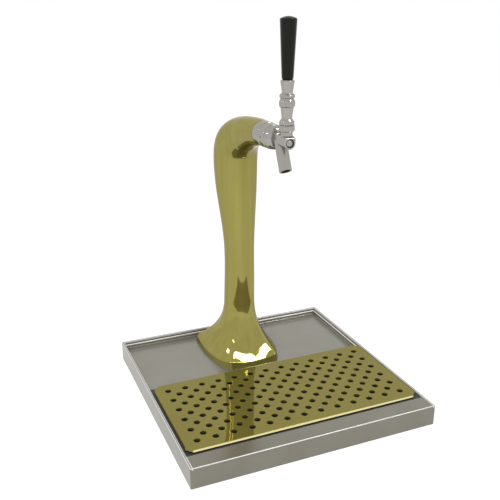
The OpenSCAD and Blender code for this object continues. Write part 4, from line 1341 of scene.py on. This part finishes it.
    def ring(self, state: Sequence[float], flare: float, lift: float, inset: float = 0.0) -> Loop:
        """One ring of the shell.

        Args:
            state: Its centre, tilt and radius.
            flare: How much of the foot's outline it has, from 0 to 1.
            lift: Share of the band's rise that it has.
            inset: How far inside the outer face it is.

        Returns:
            Its points.
        """
        y0, z0, tilt, radius = state
        a = math.radians(tilt)
        points = []
        for p in self.outline():
            reach = math.hypot(*p)
            r = radius + flare * (reach - radius) - inset
            x, y = p[0] / reach * r, p[1] / reach * r
            points.append((x, y0 + y * math.cos(a),
                           z0 + y * math.sin(a) + lift * self.band_rise * self.rise_share(p)))
        return points

    def heights(self) -> list[tuple[float, float, float]]:
        """Rings of the foot, by height above the deck.

        Returns:
            Height, flare and lift of each ring, from the deck up.
        """
        e, lean = self.band_edge, self.band_lean
        span = self.flare_h - self.band_h
        low = (self.band_h - e, 1 - lean * (1 - e / self.band_h))
        high = (self.band_h + e, (1 - lean) * (1 - e / span) ** self.flare_power)
        part = self.band_ring
        rings = [(0.0, 1.0, 0.0), (self.band_h * part, 1 - lean * part, 0.5)]
        for i in range(self.band_steps + 1):
            h, f = self._on_curve(low, (self.band_h, 1 - lean), high, i / self.band_steps)
            rings.append((h, f, min(1.0, (f / (1 - lean)) ** 2)))
        for i in range(1, self.flare_rings + 1):
            t = e / span + (1 - e / span) * (i / self.flare_rings) ** self.flare_spacing
            f = (1 - t) ** self.flare_power
            rings.append((self.band_h + t * span, f * (1 - lean), f * f))
        return rings

    def build(self) -> None:
        """Makes the shell as one closed skin, its outer face and its inner face."""
        spine = self.spine()
        outer, inner = [], []
        end = spine.knots[-1]
        rings = self.heights()
        rings += [(self.flare_h + (end - self.flare_h) * i / self.column_rings, 0, 0)
                  for i in range(1, self.column_rings + 1)]
        for h, flare, lift in rings:
            state = spine.at(h)
            outer.append(self.ring(state, flare, lift))
            inner.append(self.ring(state, flare, lift, self.wall))
        y, *rest = spine.at(end)
        past, inset = self.mouth_edge
        outer.append(self.ring([y - past, *rest], 0, 0, inset))
        piece = Piece("swan_neck_shell")
        piece.loft(outer + inner[::-self.inner_every], closed=True)
        piece.finish(60, self.paints.get(Finish.TOWER_BRASS), Body.TOWER, "polished_brass", "tower_shell")


# Tap


@dataclass
class Tap:
    """Chrome forward tap: collar, coupling ring, body with its slanted spout, plug and bonnet."""

    paints: Paintbox
    tap_z: float = mm(382)
    lever_y: float = mm(-57.2)
    ring_r: float = mm(16.3)
    hole_y: float = mm(-12.6)
    front_y: float = mm(-67.8)
    block_half: float = mm(7.6)
    block_top: float = mm(8.5)
    front_top: float = mm(6.8)
    slope_len: float = mm(5.8)
    top_edge: float = mm(0.9)
    front_edge: float = mm(0.8)
    mouth: Point = (0.0, mm(-56.7), mm(345))
    spout_lean: float = 25.0
    mouth_tilt: float = 32.0
    spout_r: float = mm(8.2)
    spout_bore_r: float = mm(6.3)
    spout_len: float = mm(40.8)
    spout_bore_len: float = mm(26)
    spout_spare: float = mm(12)
    bore_spare: float = mm(14)
    spout_edge: float = mm(0.5)

    def build(self) -> None:
        """Makes the tap's pieces."""
        self.neck()
        self.body()
        self.plug()
        self.bonnet()

    def _turned(self, name: str, axis: Axis, outline: Sequence[Sequence[float]], steps: int) -> Piece:
        """A piece turned about the tap's own axis, which lies back, or the lever's, which stands up.

        Args:
            name: The piece's name.
            axis: Which way its axis lies.
            outline: Points [radius, place on the axis, rounding] in millimetres.
            steps: Segments round it.

        Returns:
            The piece, in its place.
        """
        piece = Piece(name)
        piece.turned([[mm(value) for value in point] for point in outline], steps)
        piece.move((0, 0 if axis is Axis.BACK else self.lever_y, self.tap_z), axis=axis)
        return piece

    def _part(self, name: str, node: str, axis: Axis, outline: Sequence[Sequence[float]], steps: int = 96,
              body: Body = Body.TOWER) -> None:
        """Makes a turned chrome piece and finishes it.

        Args:
            name: The piece's name.
            node: The CAD node that it stands for.
            axis: Which way its axis lies.
            outline: Points [radius, place on the axis, rounding] in millimetres.
            steps: Segments round it.
            body: The body it rides on.
        """
        piece = self._turned(name, axis, outline, steps)
        piece.finish(30, self.paints.get(Finish.TAP_CHROME), body, "tap_chrome", node)

    def neck(self) -> None:
        """Collar against the snout, and the coupling ring with its spanner holes."""
        self._part("neck_collar", "collar", Axis.BACK, [
            (11.2, -4.98), (15.4, -4.98, 0.2), (16.9, -4.1, 0.7), (16.9, 9.6), (16.75, 10.1), (16.9, 10.6),
            (16.9, 13.2, 0.5), (16.3, 13.95, 0.2), (11.2, 13.95), (11.2, -4.98)], 128)
        ring = self._turned("coupling_ring", Axis.BACK, [
            (11.2, -20.15), (15.2, -20.15, 0.3), (16.3, -19.2, 0.6), (16.3, -5.5, 0.3), (15.6, -5.05),
            (11.2, -5.05), (11.2, -20.15)], 128)
        for side in (-1, 1):
            hole = Piece("spanner_hole")
            hole.turned([(0, mm(-4)), (mm(1.4), mm(-4)), (mm(1.4), mm(-0.35)), (mm(1.8), mm(0.1)),
                         (mm(2.2), mm(1)), (0, mm(1))], 32)
            hole.obj.rotation_euler = (0, math.radians(90 * side), 0)
            hole.obj.location = (side * self.ring_r, self.hole_y, self.tap_z)
            hole.apply_place()
            ring.join(hole, "DIFFERENCE")
        ring.finish(30, self.paints.get(Finish.TAP_CHROME), Body.TOWER, "tap_chrome", "coupling_nut")

    def _section(self, y: float, inset: float) -> Loop:
        """Section of the block: round below, flat on top with rounded edges.

        Args:
            y: Where it is.
            inset: How far inside the block's faces.

        Returns:
            Its points.
        """
        half, e = self.block_half - inset, self.top_edge
        slope = min(1.0, max(0.0, (y - self.front_y) / self.slope_len))
        top = self.front_top + (self.block_top - self.front_top) * slope - inset
        points = [(half * math.cos(a), half * math.sin(a)) for a in arc(180, 360, 32)]
        for x, start in ((half - e, 0), (-half + e, 90)):
            points += [(x + e * math.cos(a), top - e + e * math.sin(a)) for a in arc(start, start + 90, 5)]
        return [(x, y, self.tap_z + z) for x, z in points]

    def body(self) -> None:
        """Body: round shoulder, block and spout in one, with the main bore and the outlet."""
        block = Piece("tap_body_cast")
        loops = [self._section(self.front_y + back, inset) for back, inset in quarter(self.front_edge, 4)]
        bends = [self.front_y + self.slope_len + mm(d) for d in (-0.5, 0, 0.5, 12, 28, 37)]
        loops += [self._section(y, 0) for y in bends]
        block.loft(loops, caps=(True, True))
        bore = self._turned("main_bore", Axis.BACK, [(0, -69), (5.7, -69), (5.7, -60), (0, -60)], 64)
        block.join(bore, "DIFFERENCE")
        reach, round_len = 7.9, 8.0
        curve = [(15.5 - reach * (1 - math.cos(a)), -23.6 - round_len * math.sin(a)) for a in arc(0, 90, 16)]
        block.join(self._turned("shoulder", Axis.BACK, [
            (0, -20.6), (14.9, -20.6, 0.2), (15.5, -21.2, 0.3), *curve, (0, -31.6)], 128))
        block.join(self.spout())
        block.finish(32, self.paints.get(Finish.TAP_CHROME), Body.TOWER, "tap_chrome", "tap_body")

    def spout(self) -> Piece:
        """Spout tube with its slanted mouth and rounded rim.

        Returns:
            The spout, in its place.
        """
        tube, bore = Piece("spout_tube"), Piece("outlet_bore")
        for piece, r, low, top in ((tube, self.spout_r, -self.spout_spare, self.spout_len),
                                   (bore, self.spout_bore_r, -self.bore_spare, self.spout_bore_len)):
            piece.turned([(0, low), (r, low), (r, top), (0, top)], 96)
            piece.move(self.mouth, lean=-self.spout_lean)
        tilt = math.radians(self.mouth_tilt)
        tube.slice(self.mouth, (0.0, math.sin(tilt), math.cos(tilt)))
        tube.join(bore, "DIFFERENCE")
        tube.modifier("BEVEL", width=self.spout_edge, segments=3, limit_method="ANGLE",
                      angle_limit=math.radians(50), harden_normals=False, miter_outer="MITER_ARC")
        return tube

    def plug(self) -> None:
        """Round plug in the body's front face, with a coned edge."""
        self._part("front_plug_turned", "front_plug", Axis.BACK, [
            (0, -67.1), (3.1, -67.1, 0.3), (3.35, -67.0), (5.2, -65.5, 0.3), (5.4, -65.3), (5.4, -63.9),
            (0, -63.9)], 64)

    def bonnet(self) -> None:
        """Bonnet with a bead and a dome, slotted for the lever."""
        dome = [(15.7 * math.sin(a), 9 + 15.7 * math.cos(a)) for a in arc(39.2, 0, 12)]
        bonnet = self._turned("bonnet_turned", Axis.UP, [
            (0, 8.45), (7.6, 8.45), (7.6, 13.75, 0.3), (8.9, 13.75, 0.2), (10, 14.95, 0.5), (10, 19.9, 0.5),
            *dome], 96)
        slot = Piece("lever_slot")
        turn = [(3.3, 4), (3.3, 12)] + [(17.5 * math.cos(a), 17.5 * math.sin(a)) for a in arc(79, 126, 10)]
        turn += [(-8, 10), (-6, 4)]
        slot.loft([[(mm(x), self.lever_y + mm(y), self.tap_z + mm(9 + z)) for y, z in turn]
                   for x in (-3.3, 3.3)], caps=(True, True))
        bonnet.join(slot, "DIFFERENCE")
        bonnet.finish(32, self.paints.get(Finish.TAP_CHROME), Body.TOWER, "tap_chrome", "bonnet")


@dataclass
class Lever(Tap):
    """Lever group on its ball: cup, cone, jam nut, ferrule and handle, turned about the lever's axis."""

    def build(self) -> None:
        """Makes the lever's pieces."""
        ball = [(5 * math.sin(a), 9 + 5 * math.cos(a)) for a in arc(156.4, 36.9, 16)]
        hollow = [(r, 9 + math.sqrt(16.0**2 - r * r)) for r in (3.0, 4.5, 6.0, 7.5, 8.7)]
        tip = [(2.3 * math.sin(a), -2.3 * math.cos(a)) for a in arc(0, 119.6, 8)]
        self._part("lever_turned", "lever", Axis.UP, [
            *tip, *ball, *hollow, (9.4, 22.07, 0.35), (9.4, 25.77, 0.9), (8.2, 27.57, 0.5),
            (6.4, 29.97, 0.8), (8.1, 42.67, 0.3), (8.1, 43.45), (0, 43.45)], body=Body.LEVER)
        self._part("jam_nut_turned", "jam_nut", Axis.UP, [
            (3.2, 43.5), (8.3, 43.5), (8.7, 43.6, 0.2), (9.9, 44.67, 0.6), (9.9, 50.57, 0.8), (8.4, 52.95),
            (3.2, 52.95), (3.2, 43.5)], body=Body.LEVER)
        self._part("ferrule_turned", "ferrule", Axis.UP, [
            (3.2, 53.0), (8.4, 53.0), (8.4, 54.17, 0.2), (9.6, 55.37, 0.5), (9.6, 57.97, 0.8),
            (6.6, 60.37, 0.8), (8.75, 74.87, 0.4), (7.95, 75.65), (3.2, 75.65), (3.2, 53.0)],
            body=Body.LEVER)
        crown = [(9.4 * (1 - t), 146.47 + 2.3 * (1 - (1 - t) ** 2)) for t in (i / 6 for i in range(7))]
        taper = [(7.25 + 3.2 * t, 77.47 + 69 * t) for t in (0.25, 0.5, 0.75)]
        handle = self._turned("handle_moulded", Axis.UP, [
            (0, 75.7), (6.4, 75.7), (6.4, 76.67, 0.2), (7.25, 77.47, 0.4), *taper, (10.42, 145.7, 0.9),
            (9.5, 146.45, 0.4), *crown[1:]], 96)
        handle.finish(32, self.paints.get(Finish.HANDLE_BLACK), Body.LEVER, "handle_black", "handle")


# Carried-over nodes


CARRIED: dict[Finish, tuple[str, ...]] = {
    Finish.TRAY_STEEL: ("deck_plate", "tray_shell"),
    Finish.HIDDEN_STEEL: ("pan_rail", "corner_brackets", "backing_plate", "foot_screws", "foot_nuts",
                          "tower_bolts", "tower_washers", "line_clamps", "shank_washer", "shank_nut",
                          "handle_stud"),
    Finish.TOWER_BRASS: ("tower_shell", "foot_ring"),
    Finish.PLATE_BRASS: ("drip_grille",),
    Finish.PLAIN_BRASS: ("shank", "inlet_tail", "shaft_nut", "valve_seat", "handle_insert"),
    Finish.TAP_CHROME: ("collar", "coupling_nut", "tap_body", "front_plug", "bonnet", "valve_shaft",
                        "lever", "jam_nut", "ferrule"),
    Finish.HANDLE_BLACK: ("handle",),
    Finish.PAN_BLACK: ("drip_pan",),
    Finish.RUBBER: ("rubber_feet", "foot_gasket", "line_grommet", "tail_gasket", "seat_washer",
                    "bonnet_washer", "grille_pads"),
    Finish.NYLON: ("neck_bush",),
    Finish.LINE_CLEAR: ("beer_line",),
}


def dress_nodes(paints: Paintbox) -> None:
    """Gives every node of the CAD model its finish.

    Args:
        paints: The finishes.
    """
    for finish, names in CARRIED.items():
        for name in names:
            paint(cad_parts[name], paints.get(finish))
    LOG.info("dressed %d nodes", sum(len(names) for names in CARRIED.values()))


# Studio


@dataclass(frozen=True)
class Lamp:
    """Soft lamp aimed at the tower. Its azimuth is 0 in front of the tower and 90 to its right."""

    name: str
    azimuth: float
    elevation: float
    size: tuple[float, float]
    power: float
    mirrored: bool = True
    aim: Point = (0, 0, 0.1)
    distance: float = 2.0

    def hang(self) -> None:
        """Adds the lamp to the scene."""
        a, e = math.radians(self.azimuth), math.radians(self.elevation)
        away = Vector((math.sin(a) * math.cos(e), -math.cos(a) * math.cos(e), math.sin(e)))
        data = bpy.data.lights.new(self.name, "AREA")
        data.shape, data.energy = "RECTANGLE", self.power
        data.size, data.size_y = self.size
        lamp = bpy.data.objects.new(self.name, data)
        bpy.context.collection.objects.link(lamp)
        lamp.location = Vector(self.aim) + away * self.distance
        lamp.rotation_euler = (-away).to_track_quat("-Z", "Y").to_euler()
        lamp.visible_glossy = self.mirrored


@dataclass
class Studio:
    """White surround, soft lamps, a pale floor and the camera of the photograph."""

    camera_at: Point = (-0.37484, -0.82714, 0.54985)
    camera_to: Point = (0.36640, 0.86585, -0.34068)
    lens: float = 50.0
    sensor: float = 36.0
    clip: tuple[float, float] = (0.01, 20.0)
    white: float = 1.0
    zenith: float = 0.84
    horizon_z: float = 0.15
    zenith_z: float = 0.85
    fill: float = 0.75
    floor_size: float = 6.0
    floor_tone: float = 0.25
    floor_glow: float = 0.83
    lamps: tuple[Lamp, ...] = (
        Lamp("key_lamp", 46, 57, (0.36, 0.42), 9.0),
        Lamp("side_lamp", -117, 33, (0.15, 0.16), 1.4),
        Lamp("strip_lamp", -91, 37, (0.08, 0.20), 0.9),
        Lamp("fill_lamp", -35, 45, (1.2, 1.2), 22.0, mirrored=False))

    def build(self) -> None:
        """Makes the studio."""
        self.world()
        self.floor()
        self.camera()
        for lamp in self.lamps:
            lamp.hang()
        bpy.context.scene.view_settings.view_transform = "Standard"
        LOG.info("studio built")

    def world(self) -> None:
        """White to look at and to mirror, a little darker as light."""
        world = bpy.data.worlds.new("studio_white")
        bpy.context.scene.world = world
        world.use_nodes = True
        tree = world.node_tree
        patterns = Patterns(tree, "Generated")
        _, _, height = patterns.axes()
        sky = patterns.spread(height, self.white, self.zenith, start=self.horizon_z, end=self.zenith_z)
        strength = patterns.spread(patterns.seen_rays(), self.fill, self.white, start=0, end=1)
        tree.links.new(sky, strength.node.inputs["To Max"])
        background = tree.nodes["Background"]
        background.inputs["Color"].default_value = (1, 1, 1, 1)
        tree.links.new(strength, background.inputs["Strength"])

    def floor(self) -> None:
        """Pale floor that fades into the white and keeps a faint shadow."""
        bpy.ops.object.select_all(action="DESELECT")
        bpy.ops.mesh.primitive_plane_add(size=self.floor_size)
        floor = bpy.context.object
        floor.name = "studio_floor"
        material = bpy.data.materials.new("studio_floor_white")
        material.use_nodes = True
        tree = material.node_tree
        tree.nodes.remove(tree.nodes["Principled BSDF"])
        diffuse = tree.nodes.new("ShaderNodeBsdfDiffuse")
        diffuse.inputs["Color"].default_value = (self.floor_tone,) * 3 + (1,)
        glow = tree.nodes.new("ShaderNodeEmission")
        patterns = Patterns(tree, "Object")
        strength = patterns.spread(patterns.seen_rays(), 0, self.floor_glow, start=0, end=1)
        tree.links.new(strength, glow.inputs["Strength"])
        add = tree.nodes.new("ShaderNodeAddShader")
        tree.links.new(diffuse.outputs[0], add.inputs[0])
        tree.links.new(glow.outputs[0], add.inputs[1])
        tree.links.new(add.outputs[0], tree.nodes["Material Output"].inputs["Surface"])
        floor.data.materials.append(material)

    def camera(self) -> None:
        """Camera where the photograph was taken from."""
        data = bpy.data.cameras.new("photo_camera")
        camera = bpy.data.objects.new("photo_camera", data)
        bpy.context.collection.objects.link(camera)
        data.lens, data.sensor_width, data.sensor_fit = self.lens, self.sensor, "HORIZONTAL"
        data.clip_start, data.clip_end = self.clip
        camera.location = self.camera_at
        camera.rotation_euler = Vector(self.camera_to).to_track_quat("-Z", "Y").to_euler()
        bpy.context.scene.camera = camera


def main() -> None:
    """Builds the studio, dresses the model and adds the visible pieces."""
    logging.basicConfig(level=logging.INFO, format="%(name)s: %(message)s")
    Studio().build()
    paints = Paintbox()
    dress_nodes(paints)
    for assembly in (Tray, DripPan, Grille, Tower, Tap, Lever):
        assembly(paints).build()


if __name__ == "__main__":
    main()
